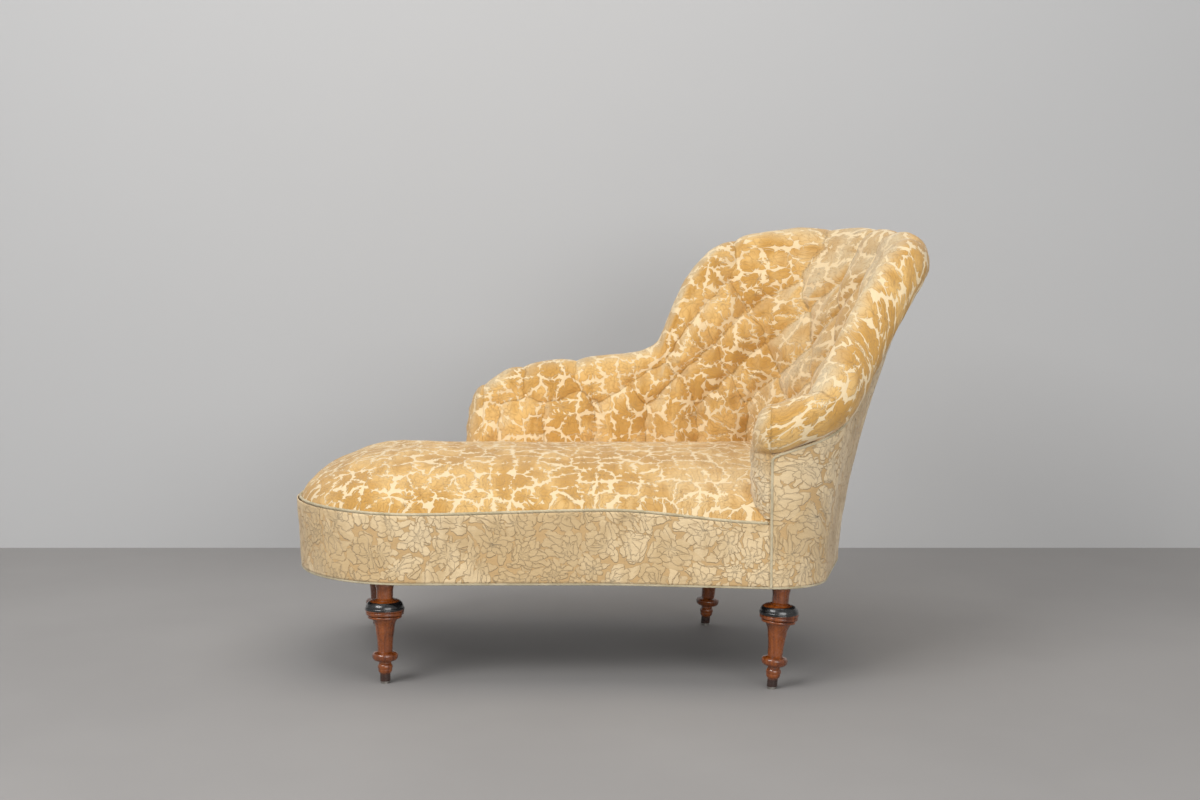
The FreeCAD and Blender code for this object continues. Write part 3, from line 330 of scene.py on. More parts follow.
def wandering(run, height):
    """Run and height, shifted a little as the creases wander."""
    return (run + WANDER * slow_waves(run, height, WANDER_ALONG),
            height + WANDER * slow_waves(run, height, WANDER_UP))


# Height of the puffs on the face, on the roll and at the hem, and their half width
PUFF, PUFF_ROLL, PUFF_HEM = 0.022, 0.0095, 0.002
PUFF_WIDTH, PUFF_POWER = 0.046, 0.80
# Where the puffs grow lower, from the roll's middle: start and length of the change
ROLL_CHANGE, HEM_CHANGE = (-0.070, 0.075), (0.085, 0.070)
CREASE_RISE, CREASE_RISE_UNDER = 0.005, 0.03
PIT, PIT_WIDTH = 0.004, 0.011
# Small folds that run out from each button
FOLD_COUNT, FOLD_TURN, FOLD_HEIGHT = 9, 90, 0.0011
FOLD_REACH, FOLD_CLEAR = 0.016, 0.010


def change_share(over, change):
    """Share of a change that is done at a height over the roll's middle."""
    return np.clip((over - change[0]) / change[1], 0.0, 1.0)


def fullness(run, height, middle):
    """How far the cover stands over its creases, and the distance to the nearest one."""
    gap, along = crease_gaps(*wandering(run, height))
    over = height - middle
    amount = PUFF + (PUFF_ROLL - PUFF) * change_share(over, ROLL_CHANGE)
    amount = amount + (PUFF_HEM - PUFF_ROLL) * change_share(over, HEM_CHANGE)
    swell = np.sin(np.clip(gap / PUFF_WIDTH, 0.0, 1.0) * math.pi / 2) ** PUFF_POWER
    under = np.clip(-over / CREASE_RISE_UNDER, 0.0, 1.0)
    full = amount * swell + CREASE_RISE * along * (1 - swell) * under
    for button_run, button_height in BUTTONS:
        away = np.hypot(run - button_run, height - button_height)
        full = full - PIT * np.exp(-(away / PIT_WIDTH) ** 2)
        turn = np.arctan2(height - button_height, run - button_run)
        folds = np.cos(turn * FOLD_COUNT + button_run * FOLD_TURN)
        folds = folds * np.exp(-away / FOLD_REACH) * np.clip(away / FOLD_CLEAR, 0, 1)
        full = full + FOLD_HEIGHT * folds
    return full, gap


# Meshes of the pieces. Where a piece has no crease, its points are marked this far from one
NO_CREASE = 0.02


def new_piece(name, points, faces, cloth, marks=None):
    """A mesh with the cloth's own coordinates and other marks at its points; ends are flat."""
    mesh = bpy.data.meshes.new(name)
    mesh.from_pydata([tuple(p) for p in points], [], faces)
    for polygon in mesh.polygons:
        polygon.use_smooth = len(polygon.vertices) <= 4
    layer = mesh.attributes.new("cloth", "FLOAT_VECTOR", "POINT")
    layer.data.foreach_set("vector", np.asarray(cloth, np.float32).ravel())
    for key, values in (marks or {}).items():
        layer = mesh.attributes.new(key, "FLOAT", "POINT")
        layer.data.foreach_set("value", np.asarray(values, np.float32).ravel())
    piece = bpy.data.objects.new(name, mesh)
    bpy.context.scene.collection.objects.link(piece)
    return piece


def cloth_marks(count, pale_and_highlight, sand, crease=NO_CREASE):
    """What the velvet asks of each point: its crease, how pale it is, painted highlight included,
    and how sandy it is.
    """
    return {"crease": np.broadcast_to(crease, count), "pale_and_highlight": np.broadcast_to(pale_and_highlight, count),
            "sand": np.broadcast_to(sand, count)}


def grid_faces(rows, columns, wrap=False, flip=False, first=0):
    """Four-sided faces over a grid of points stored row after row; wrap joins its sides."""
    faces = []
    for i in range(rows - 1):
        for k in range(columns if wrap else columns - 1):
            a = first + i * columns + k
            b = first + i * columns + (k + 1) % columns
            c = first + (i + 1) * columns + (k + 1) % columns
            d = first + (i + 1) * columns + k
            faces.append((a, d, c, b) if flip else (a, b, c, d))
    return faces


def rough(points, *layers):
    """Small uneven offsets: layers of lump size, amount and place in the noise."""
    return sum(np.array([noise.noise(Vector((p[0], p[1], p[2] + seed)) / size) * amount
                         for p in points]) for size, amount, seed in layers)


SHORTEST = 1e-12


def normals_of(points, rows, columns):
    """Unit normals of a grid of points."""
    grid = np.asarray(points).reshape(rows, columns, 3)
    normal = np.cross(np.gradient(grid, axis=1), np.gradient(grid, axis=0))
    length = np.maximum(np.linalg.norm(normal, axis=-1, keepdims=True), SHORTEST)
    return (normal / length).reshape(-1, 3)


def finish_piece(piece, material, nodes):
    """Dress a piece, ride it on the one body and let it stand for its CAD nodes."""
    piece.data.materials.append(material)
    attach(piece, "root")
    if nodes:
        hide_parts(*nodes)
    return piece


# Shader trees
class Graph:
    """Adds nodes to one tree; inputs are sockets to wire or values to set."""

    def __init__(self, tree):
        self.tree = tree

    def add(self, kind, inputs, **settings):
        made = self.tree.nodes.new("ShaderNode" + kind)
        for key, value in settings.items():
            setattr(made, key, value)
        for key, value in inputs.items():
            if isinstance(value, bpy.types.NodeSocket):
                self.tree.links.new(value, made.inputs[key])
            else:
                made.inputs[key].default_value = value
        return made

    def math(self, operation, a, b=0.0, c=0.0):
        return self.add("Math", {0: a, 1: b, 2: c}, operation=operation).outputs[0]

    def vector(self, operation, a, b=(0, 0, 0)):
        return self.add("VectorMath", {0: a, 1: b}, operation=operation).outputs[0]

    def scaled(self, vector, amount):
        return self.add("VectorMath", {0: vector, "Scale": amount}, operation="SCALE").outputs[0]

    def step(self, value, low, high, to_low=0.0, to_high=1.0):
        made = self.add("MapRange", {"Value": value, "From Min": low, "From Max": high,
                                     "To Min": to_low, "To Max": to_high},
                        interpolation_type="SMOOTHSTEP")
        return made.outputs["Result"]

    def blend(self, factor, a, b, kind="MIX"):
        made = self.add("Mix", {0: factor, 6: a, 7: b}, data_type="RGBA", blend_type=kind)
        return made.outputs[2]

    def noise(self, vector, scale, detail=3.0, roughness=0.5):
        return self.add("TexNoise", {"Vector": vector, "Scale": scale, "Detail": detail,
                                     "Roughness": roughness})


def new_group(name, inputs, outputs):
    """A node group with named sockets: pairs of name and kind, or name, kind and value."""
    tree = bpy.data.node_groups.new(name, "ShaderNodeTree")
    for label, kind, value in inputs:
        made = tree.interface.new_socket(label, in_out="INPUT", socket_type="NodeSocket" + kind)
        if value is not None:
            made.default_value = value
    for label, kind in outputs:
        tree.interface.new_socket(label, in_out="OUTPUT", socket_type="NodeSocket" + kind)
    graph = Graph(tree)
    return graph, tree.nodes.new("NodeGroupInput").outputs, tree.nodes.new("NodeGroupOutput")


def use_group(graph, name, inputs):
    """Place a node group in a tree and give its outputs."""
    made = graph.tree.nodes.new("ShaderNodeGroup")
    made.node_tree = bpy.data.node_groups[name]
    for key, value in inputs.items():
        if isinstance(value, bpy.types.NodeSocket):
            graph.tree.links.new(value, made.inputs[key])
        else:
            made.inputs[key].default_value = value
    return made.outputs


def shade(red, green, blue):
    """A colour given as it looks on screen, 0 to 255, as a shader's linear colour."""
    channels = []
    for value in (red, green, blue):
        value /= 255
        channels.append(value / 12.92 if value <= 0.04045 else ((value + 0.055) / 1.055) ** 2.4)
    return (*channels, 1.0)


FULL_TURN = 2 * math.pi


def build_blossom_group():
    """Blossoms and leaves close together: the pile between broken lines of bare ground."""
    g, given, result = new_group(
        "blossom_figure",
        [("Vector", "Vector", None), ("Scale", "Float", 24.0), ("Gap", "Float", 0.05)],
        [("Pile", "Float"), ("Relief", "Float"), ("Line", "Float"), ("Cell", "Float")])
    place = g.scaled(given["Vector"], given["Scale"])
    middle_grey = (0.5, 0.5, 0.5)
    wander = g.vector("SUBTRACT", g.noise(place, 0.7, 2.0).outputs["Color"], middle_grey)
    ripple = g.vector("SUBTRACT", g.noise(place, 5.5, 3.0, 0.6).outputs["Color"], middle_grey)
    place = g.vector("ADD", place, g.scaled(wander, 1.1))
    place = g.vector("ADD", place, g.scaled(ripple, 0.16))
    # One cell for each blossom, and finer cells for the veins of leaves
    cells = {"Vector": place, "Scale": 1.0, "Randomness": 0.9}
    flower = g.add("TexVoronoi", cells, voronoi_dimensions="2D", feature="F1")
    rim = g.add("TexVoronoi", cells, voronoi_dimensions="2D", feature="DISTANCE_TO_EDGE")
    inward = rim.outputs["Distance"]
    leaf = g.add("TexVoronoi", {"Vector": place, "Scale": 2.3, "Randomness": 1.0},
                 voronoi_dimensions="2D", feature="DISTANCE_TO_EDGE").outputs["Distance"]
    # Direction and distance from the blossom's heart, turned by chance
    spoke = g.vector("SUBTRACT", place, flower.outputs["Position"])
    parts = g.add("SeparateXYZ", {0: spoke})
    chance = g.add("SeparateColor", {0: flower.outputs["Color"]})
    turn = g.math("ARCTAN2", parts.outputs[1], parts.outputs[0])
    turn = g.math("MULTIPLY_ADD", chance.outputs[0], FULL_TURN, turn)
    radius = g.add("VectorMath", {0: spoke}, operation="LENGTH").outputs["Value"]
    # Petals scallop the blossom's edge; the bare ground lies between edges
    petals = g.math("ABSOLUTE", g.math("SINE", g.math("MULTIPLY", turn, 4.0)))
    inner_petals = g.math("ABSOLUTE", g.math("COSINE", g.math("MULTIPLY", turn, 4.0)))
    scallop = g.math("MULTIPLY_ADD", g.math("POWER", petals, 0.5), 0.21, inward)
    outline = g.math("SUBTRACT", scallop, 0.165)
    spread = g.step(g.noise(place, 0.8, 2.0).outputs[0], 0.35, 0.65, -0.03, 0.06)
    gap = g.math("ADD", given["Gap"], spread)
    pile = g.step(g.math("SUBTRACT", outline, gap), 0.0, 0.03)
    leafy = g.step(chance.outputs[2], 0.45, 0.5)
    vein = g.step(leaf, 0.010, 0.045, 1.0, 0.0)
    opening = g.math("MULTIPLY", vein, leafy)
    opening = g.math("MULTIPLY", opening, g.step(inward, 0.10, 0.25, 1.0, 0.0))
    pile = g.math("MULTIPLY", pile, g.math("SUBTRACT", 1.0, opening))
    # Lines in the pile: between petals, round the inner ring and round the heart
    second = g.math("MULTIPLY_ADD", g.math("POWER", inner_petals, 0.6), 0.10, inward)
    ring = g.step(second, 0.225, 0.255)
    third = g.math("MULTIPLY_ADD", petals, 0.06, inward)
    outer_part = g.math("SUBTRACT", 1.0, ring)
    outer_cut = g.math("MULTIPLY", outer_part, g.step(petals, 0.0, 0.26, 1.0, 0.0))
    inner_cut = g.math("MULTIPLY", ring, g.step(inner_petals, 0.0, 0.24, 1.0, 0.0))
    rim_line = g.step(g.math("ABSOLUTE", g.math("SUBTRACT", second, 0.235)), 0.0, 0.020, 1.0, 0.0)
    heart_line = g.step(g.math("ABSOLUTE", g.math("SUBTRACT", third, 0.37)), 0.0, 0.018, 1.0, 0.0)
    line = g.math("MAXIMUM", g.math("MAXIMUM", outer_cut, inner_cut),
                  g.math("MAXIMUM", rim_line, heart_line))
    line = g.math("MULTIPLY", line, g.step(radius, 0.04, 0.10))
    # Streaks of the pile that fan out from the heart, and each blossom a low dome
    fan = g.add("CombineXYZ", {0: g.math("MULTIPLY", turn, 5.0),
                               1: g.math("MULTIPLY", radius, 1.6)})
    streaks = g.noise(fan.outputs[0], 2.6, 2.0).outputs[0]
    dome = g.math("MINIMUM", g.math("MULTIPLY", inward, 3.0), 1.0)
    dome = g.math("MULTIPLY", g.math("POWER", dome, 0.5), 0.35)
    relief = g.math("ADD", g.math("MULTIPLY", pile, 0.62), g.math("MULTIPLY", dome, pile))
    relief = g.math("SUBTRACT", relief, g.math("MULTIPLY", g.math("MULTIPLY", line, pile), 0.45))
    relief = g.math("ADD", relief, g.math("MULTIPLY", g.math("MULTIPLY", streaks, pile), 0.22))
    cell = g.math("MULTIPLY_ADD", streaks, 0.6, g.math("MULTIPLY", chance.outputs[1], 0.4))
    for label, value in (("Pile", pile), ("Relief", relief), ("Line", line), ("Cell", cell)):
        g.tree.links.new(value, result.inputs[label])


def build_nap_group():
    """Fine pile: rows of tufts, and soft patches where it was brushed one way or another."""
    g, given, result = new_group("nap", [("Vector", "Vector", None)],
                                 [("Tufts", "Float"), ("Brushed", "Float")])
    fine = g.noise(given["Vector"], 900.0, 2.0, 0.7).outputs[0]
    rows = g.add("TexWave", {"Vector": given["Vector"], "Scale": 190.0, "Distortion": 2.0,
                             "Detail": 1.0}, bands_direction="Y").outputs["Fac"]
    tufts = g.math("ADD", g.math("MULTIPLY", fine, 0.7), g.math("MULTIPLY", rows, 0.3))
    soft = g.noise(given["Vector"], 9.0, 3.0).outputs[0]
    streak = g.vector("MULTIPLY", given["Vector"], (1.0, 0.18, 1.0))
    long_marks = g.noise(streak, 46.0, 2.0).outputs[0]
    paler_share = g.step(g.math("ADD", g.math("MULTIPLY", soft, 0.7),
                            g.math("MULTIPLY", long_marks, 0.3)), 0.36, 0.66)
    g.tree.links.new(tufts, result.inputs["Tufts"])
    g.tree.links.new(paler_share, result.inputs["Brushed"])


def build_grain_group():
    """Wood: long streaks along Z, pores and slow changes of tone."""
    g, given, result = new_group(
        "wood_grain", [("Vector", "Vector", None), ("Scale", "Float", 1.0)],
        [("Streaks", "Float"), ("Pores", "Float")])
    place = g.scaled(given["Vector"], given["Scale"])
    along = g.vector("MULTIPLY", place, (1.0, 1.0, 0.07))
    wave = g.noise(along, 150.0, 4.0, 0.6).outputs[0]
    slow = g.noise(along, 34.0, 3.0).outputs[0]
    streaks = g.math("ADD", g.math("MULTIPLY", wave, 0.6), g.math("MULTIPLY", slow, 0.4))
    long_pores = g.vector("MULTIPLY", place, (1.0, 1.0, 0.03))
    pores = g.step(g.noise(long_pores, 900.0, 1.0).outputs[0], 0.62, 0.72)
    g.tree.links.new(g.step(streaks, 0.34, 0.66), result.inputs["Streaks"])
    g.tree.links.new(pores, result.inputs["Pores"])


def build_weave_group():
    """Plain weave: threads over and under each other, a little uneven."""
    g, given, result = new_group(
        "plain_weave", [("Vector", "Vector", None), ("Threads", "Float", 900.0)],
        [("Height", "Float"), ("Slub", "Float")])
    uneven = g.noise(given["Vector"], 60.0, 2.0)
    place = g.vector("ADD", given["Vector"], g.scaled(uneven.outputs["Color"], 0.0006))
    parts = g.add("SeparateXYZ", {0: g.scaled(place, given["Threads"])})
    warp = g.math("SINE", g.math("MULTIPLY", parts.outputs[0], FULL_TURN))
    weft = g.math("SINE", g.math("MULTIPLY", parts.outputs[1], FULL_TURN))
    height = g.math("MULTIPLY", g.math("ADD", warp, weft), 0.5)
    g.tree.links.new(height, result.inputs["Height"])
    g.tree.links.new(uneven.outputs[0], result.inputs["Slub"])


build_blossom_group()
build_nap_group()
build_grain_group()
build_weave_group()


def new_material(name, **constants):
    """A material with plain values set on its shader, its graph and the shader's inputs."""
    material = bpy.data.materials.new(name)
    material.use_nodes = True
    shader = material.node_tree.nodes["Principled BSDF"]
    for key, value in constants.items():
        shader.inputs[key.replace("_", " ")].default_value = value
    return material, Graph(material.node_tree), shader.inputs


def bump(g, target, height, distance):
    made = g.add("Bump", {"Height": height, "Distance": distance})
    g.tree.links.new(made.outputs[0], target["Normal"])


# Looks of the velvet: deep, light and pale pile (the pale pile also the painted highlight), bare
# ground, lines in the pile
GOLD_LOOK = (shade(208, 158, 80), shade(232, 188, 116), shade(222, 200, 160),
             shade(243, 218, 174), shade(196, 146, 74))
SAND_LOOK = (shade(218, 188, 140), shade(240, 213, 168), shade(244, 224, 188),
             shade(212, 176, 124), shade(182, 146, 100))
# Blossoms to a metre of cloth, roughly
FIGURE_SCALE = 24.0
# Distance from a crease at which its shadow ends
CREASE_SHADE = 0.0028


def velvet():
    """Figured velvet: pile in blossoms over a bare ground, with brushed and pale patches, a painted
    highlight where the pile faces the light and painted shade in the creases. It has kept its
    gold inside and has gone sandy where light and hands reached it."""
    material, g, target = new_material("figured_velvet", Roughness=0.85, Sheen_Weight=0.25,
                                       Sheen_Roughness=0.45)
    cloth = g.add("Attribute", {}, attribute_name="cloth").outputs["Vector"]
    sand = g.add("Attribute", {}, attribute_name="sand").outputs["Fac"]
    pale_and_highlight = g.add("Attribute", {}, attribute_name="pale_and_highlight").outputs["Fac"]
    crease = g.add("Attribute", {}, attribute_name="crease").outputs["Fac"]
    figure = use_group(g, "blossom_figure", {"Vector": cloth, "Scale": FIGURE_SCALE,
                                             "Gap": g.step(sand, 0.0, 1.0, 0.035, 0.0)})
    nap = use_group(g, "nap", {"Vector": cloth})
    deep, light, pale_pile, ground, lines = [
        g.blend(sand, gold, sandy) for gold, sandy in zip(GOLD_LOOK, SAND_LOOK)]
    tone = g.math("ADD", g.math("MULTIPLY", nap["Brushed"], 0.55),
                  g.math("MULTIPLY", figure["Cell"], 0.45))
    colour = g.blend(g.step(tone, 0.30, 0.68), deep, light)
    # Pale pile: random pale patches on the seat and the plain covers, and painted highlight, broken
    # up by the brushed patches, on the back and the arms' ends
    paler_share = g.math("MULTIPLY", pale_and_highlight, g.math("MULTIPLY_ADD", nap["Brushed"], 0.7, 0.35))
    colour = g.blend(paler_share, colour, pale_pile)
    lined = g.math("MULTIPLY", figure["Line"], g.step(sand, 0.0, 1.0, 0.50, 0.38))
    colour = g.blend(lined, colour, lines)
    colour = g.blend(figure["Pile"], ground, colour)
    fleck = g.step(nap["Tufts"], 0.25, 0.75, 0.86, 1.08)
    flecks = g.add("CombineColor", {0: fleck, 1: fleck, 2: fleck}).outputs[0]
    colour = g.blend(1.0, colour, flecks, "MULTIPLY")
    # Painted shade: the colour darkens and warms close to each crease
    crease_shading = g.step(crease, 0.0, CREASE_SHADE, 0.66, 1.0)
    folds = g.add("CombineColor", {0: crease_shading, 1: g.math("POWER", crease_shading, 1.2),
                                   2: g.math("POWER", crease_shading, 1.5)}).outputs[0]
    colour = g.blend(1.0, colour, folds, "MULTIPLY")
    g.tree.links.new(colour, target["Base Color"])
    height = g.math("ADD", figure["Relief"], g.math("MULTIPLY", nap["Tufts"], 0.25))
    bump(g, target, height, g.step(sand, 0.0, 1.0, 0.0012, 0.0026))
    return material


VELVET = velvet()


def cord_material():
    """Pale twisted cord, a little soiled."""
    material, g, target = new_material("pale_cord", Roughness=0.8, Sheen_Weight=0.2)
    place = g.add("Attribute", {}, attribute_name="cloth").outputs["Vector"]
    weave = use_group(g, "plain_weave", {"Vector": place, "Threads": 700.0})
    soil = g.noise(g.add("TexCoord", {}).outputs["Object"], 24.0, 3.0).outputs[0]
    colour = g.blend(g.step(soil, 0.35, 0.7), shade(222, 208, 174), shade(190, 176, 140))
    g.tree.links.new(colour, target["Base Color"])
    bump(g, target, weave["Height"], 0.0003)
    return material


# Heights on the leg of the blackened shoulder, and of the blackened foot's soft upper edge
EBONY_FROM, EBONY_TO = 0.1515, 0.1680
EBONY_EDGE = 0.0007
FOOT_FROM, FOOT_TO = 0.018, 0.024
# How far the edges of the black wander up and down
EBONY_WANDER = 0.0016


def leg_material():
    """Stained and polished wood, ebonised on the shoulder of the big ring and at the foot."""
    material, g, target = new_material("polished_wood", Coat_Roughness=0.12, Specular_IOR_Level=0.5)
    place = g.add("TexCoord", {}).outputs["Object"]
    grain = use_group(g, "wood_grain", {"Vector": place, "Scale": 1.0})
    stain = g.blend(grain["Streaks"], shade(92, 38, 8), shade(150, 78, 24))
    stain = g.blend(g.math("MULTIPLY", grain["Pores"], 0.5), stain, shade(46, 16, 8))
    height = g.add("SeparateXYZ", {0: place}).outputs[2]
    worn = g.noise(place, 130.0, 3.0).outputs[0]
    height = g.math("MULTIPLY_ADD", worn, EBONY_WANDER,
                    g.math("SUBTRACT", height, EBONY_WANDER / 2))
    over = g.step(height, EBONY_FROM - EBONY_EDGE, EBONY_FROM + EBONY_EDGE)
    under = g.step(height, EBONY_TO - EBONY_EDGE, EBONY_TO + EBONY_EDGE, 1.0, 0.0)
    shoulder = g.math("MULTIPLY", over, under)
    foot = g.step(height, FOOT_FROM, FOOT_TO, 1.0, 0.0)
    black = g.math("MAXIMUM", shoulder, g.math("MULTIPLY", foot, 0.85))
    dirt = g.step(g.noise(place, 55.0, 4.0).outputs[0], 0.42, 0.70, 0.0, 0.35)
    stain = g.blend(dirt, stain, shade(40, 16, 9))
    colour = g.blend(black, stain, shade(17, 16, 17))
    g.tree.links.new(colour, target["Base Color"])
    scuff = g.step(g.noise(place, 210.0, 4.0, 0.7).outputs[0], 0.35, 0.75, 0.22, 0.42)
    g.tree.links.new(scuff, target["Roughness"])
    g.tree.links.new(g.step(worn, 0.3, 0.7, 0.9, 0.55), target["Coat Weight"])
    bump(g, target, g.math("ADD", grain["Streaks"], grain["Pores"]), 0.00012)
    return material


def beech_material():
    """Plain beech of the hidden frame."""
    material, g, target = new_material("beech", Roughness=0.6)
    grain = use_group(g, "wood_grain", {"Vector": g.add("TexCoord", {}).outputs["Object"],
                                        "Scale": 0.6})
    colour = g.blend(grain["Streaks"], shade(196, 158, 118), shade(222, 188, 150))
    g.tree.links.new(g.blend(grain["Pores"], colour, shade(160, 120, 84)), target["Base Color"])
    bump(g, target, grain["Streaks"], 0.0002)
    return material


def woven_material(name, dark, light, threads, depth):
    """Coarse cloth: a dark and a light colour, threads to a metre and their relief. The low threads
    take the dark colour as painted shade, mixed with the slub's uneven tone.
    """
    material, g, target = new_material(name, Roughness=0.9)
    place = g.add("TexCoord", {}).outputs["Object"]
    weave = use_group(g, "plain_weave", {"Vector": place, "Threads": threads})
    # Painted shade in the weave's hollows, mixed with the slub's uneven tone
    tone = g.step(g.math("MULTIPLY_ADD", weave["Height"], 0.25, weave["Slub"]), 0.25, 0.8)
    g.tree.links.new(g.blend(tone, dark, light), target["Base Color"])
    bump(g, target, weave["Height"], depth)
    return material


def steel_material():
    """Worn steel of the glides."""
    material, g, target = new_material("worn_steel", Metallic=1.0)
    place = g.add("TexCoord", {}).outputs["Object"]
    worn = g.noise(place, 260.0, 4.0, 0.7).outputs[0]
    colour = g.blend(worn, shade(120, 114, 106), shade(205, 202, 196))
    g.tree.links.new(colour, target["Base Color"])
    g.tree.links.new(g.step(worn, 0.3, 0.7, 0.25, 0.5), target["Roughness"])
    bump(g, target, worn, 0.0001)
    return material


CORD = cord_material()
NODE_LOOKS = {
    "polished_wood": leg_material(),
    "beech": beech_material(),
    "hessian": woven_material(
        "hessian", shade(150, 122, 84), shade(190, 162, 120), 420.0, 0.0005),
    "webbing": woven_material(
        "webbing", shade(140, 120, 86), shade(178, 156, 116), 300.0, 0.0006),
    "stuffing": woven_material(
        "stuffing", shade(160, 138, 104), shade(200, 178, 140), 500.0, 0.0004),
    "black_cotton": woven_material(
        "black_cotton", shade(26, 25, 26), shade(48, 46, 46), 800.0, 0.0003),
    "steel": steel_material(),
}
# The frame, legs and hidden cloths keep their own solids
for part in frame["record"]["subparts"]:
    look = NODE_LOOKS.get(part["material_slot"])
    if look is not None:
        shape = frame["nodes"][part["node"]]
        shape.data.materials.clear()
        shape.data.materials.append(look)

# Inside cover: tufted face and pleated roll in one cloth
FACE_STEP = 0.0034
FACE_ROWS, ROLL_ROWS, HEM_ROWS, BACK_ROWS = 116, 62, 8, 8
ROLL_TURN = math.radians(205)
# Over the top the roll's fullness falls to a half, and the cover stands a little off
HEM_FULLNESS, HEM_OFF = 0.5, 0.002
# Off the wall where the cover is tacked, and how the cloth bows out above the tacks
TACK_OFF = 0.0006
HEM_BOW, HEM_SAG = 0.004, -0.3
# Length of cloth from the roll to the tacks, and between two rows behind them
HEM_CLOTH, BACK_CLOTH = 0.03, 0.02
# Depths in from the wall's outer face of the stuffing's inner side, at the hem and at the seat
HEM_BACK_DEPTH, SEAT_BACK_DEPTH = 0.020, 0.040
COVER_LUMPS = [(0.030, 0.0016, 0.0), (0.009, 0.0005, 3.0)]
# Painted highlight: the pile is painted pale where it faces up and to the foot end, toward the
# light
HIGHLIGHT_WAY = np.array([-0.80, 0.10, 0.55])
HIGHLIGHT_FROM, HIGHLIGHT_SPAN = 0.30, 0.45


def cover_section(u):
    """Points of the cover at one station, from the seat up and over to the hem, with the
    cloth's own height, the distance to the nearest crease and the run."""
    run = float(run_of(u))
    middle = float(roll_height(u))
    z = np.linspace(FACE_FROM, middle, FACE_ROWS)
    full, gap = fullness(np.full(z.shape, run), z, middle)
    face = wall(u, z, crease_depth(u, z) + full)
    turn = np.linspace(0.0, ROLL_TURN, ROLL_ROWS + 1)[1:]
    length = middle + ROLL_RADIUS * turn
    full_roll, gap_roll = fullness(np.full(turn.shape, run), length, middle)
    past_top = np.clip((turn - math.pi / 2) / (ROLL_TURN - math.pi / 2), 0.0, 1.0)
    radius = THICK_HIGH - ROLL_DEPTH + full_roll * (1 - HEM_FULLNESS * past_top)
    radius = radius + HEM_OFF * past_top
    x, y, nx, ny = (float(v) for v in plan_at(u))
    out = float(lean(u, middle)) - (ROLL_DEPTH + radius * np.cos(turn))
    roll = np.stack([x + nx * out, y + ny * out, middle + radius * np.sin(turn)], axis=-1)
    hem = wall(u, middle - TACK_DROP, TACK_OFF)
    share = np.linspace(0.0, 1.0, HEM_ROWS + 1)[1:, None]
    tail = roll[-1] + (hem - roll[-1]) * share
    tail = tail + np.sin(share * math.pi) * HEM_BOW * np.array([nx, ny, HEM_SAG])
    points = np.concatenate([face, roll, tail])
    heights = np.concatenate([z, length, length[-1] + HEM_CLOTH * share[:, 0]])
    gaps = np.concatenate([gap, gap_roll, np.full(HEM_ROWS, NO_CREASE)])
    return points, heights, gaps, run


def back_side(u):
    """Inner side of the cover's stuffing, from the hem down to the seat."""
    z = np.linspace(float(roll_height(u)) - TACK_DROP, FACE_FROM, BACK_ROWS)
    return wall(u, z, np.linspace(HEM_BACK_DEPTH, SEAT_BACK_DEPTH, BACK_ROWS))


def build_back_cover():
    """The sections side by side, closed along the back and at both ends."""
    count = int(RUN_END / FACE_STEP)
    stations = [float(np.interp(run, RUN, RUN_U)) for run in np.linspace(0.0, RUN_END, count)]
    sections = [cover_section(u) for u in stations]
    shown = len(sections[0][0])
    columns = shown + BACK_ROWS
    front = np.concatenate([section[0] for section in sections])
    outward = normals_of(front, count, shown)
    # In the middle of the head end the face looks to the foot end
    if outward[(count // 2) * shown + shown // 9, 0] > 0:
        outward = -outward
    front = front + outward * rough(front, *COVER_LUMPS)[:, None]
    points, cloth, crease, pale_and_highlight = [], [], [], []
    for i, (u, (_, heights, gaps, run)) in enumerate(zip(stations, sections)):
        here = slice(i * shown, (i + 1) * shown)
        points += [front[here], back_side(u)]
        cloth += [(run, height, 0.0) for height in heights]
        cloth += [(run, heights[-1] + BACK_CLOTH * k, 0.0) for k in range(BACK_ROWS)]
        crease += list(gaps) + [NO_CREASE] * BACK_ROWS
        # Painted highlight where the face turns to the light
        paler_share = np.clip((outward[here] @ HIGHLIGHT_WAY - HIGHLIGHT_FROM) / HIGHLIGHT_SPAN, 0.0, 1.0)
        pale_and_highlight += list(paler_share) + [0.0] * BACK_ROWS
    points = np.concatenate(points)
    faces = grid_faces(count, columns, wrap=True)
    faces.append(tuple(range(columns)))
    faces.append(tuple(reversed(range((count - 1) * columns, count * columns))))
    return new_piece("back_cover", points, faces, cloth,
                     cloth_marks(len(points), pale_and_highlight, 0.0, crease))


back_cover = build_back_cover()
finish_piece(back_cover, VELVET,
             ["buttoned_pad", "near_arm_roll", "crest_roll", "far_arm_roll"])

# Rounded ends of the arms
NOSE_REACH = 0.040
NOSE_ARC = 40
# Share of the reach by height over the floor
NOSE_TABLE = [(0.345, 0.45), (0.362, 0.80), (0.385, 1.0), (0.440, 1.0), (0.520, 1.0)]
# How far below the roll's top its end starts to round off
NOSE_ROUND = 0.105
# Below the tufted face the end goes on down to the seat's edge, less and less full
NOSE_BOTTOM, NOSE_LOW_FULLNESS, NOSE_LOW_ROWS = 0.348, 0.3, 8
NOSE_PUCKERS = [(0.022, 0.0030, 0.0), (0.007, 0.0008, 5.0)]
# Painted highlight on the arms' ends: where it starts on the face's turn to the light, and over
# what span it grows
NOSE_HIGHLIGHT_FROM, NOSE_HIGHLIGHT_SPAN = -0.1, 0.6
# The sandy wear grows over this height below the roll's middle, with an uneven edge
SAND_SPAN = 0.090
SAND_EDGE = (0.030, 0.5, 0.0)
# Share of the arc over which the end takes on the colours of the cover beside it
SEAM_SPAN = 0.6


def nose_share(z, top_z):
    """Share of the reach at a height: full lower down, rounded off toward the roll's top."""
    share = float(smooth_table(z, NOSE_TABLE))
    start = top_z - NOSE_ROUND
    if z > start:
        share *= math.sqrt(max(1.0 - ((z - start) / (top_z - start)) ** 2, 0.0))
    return share


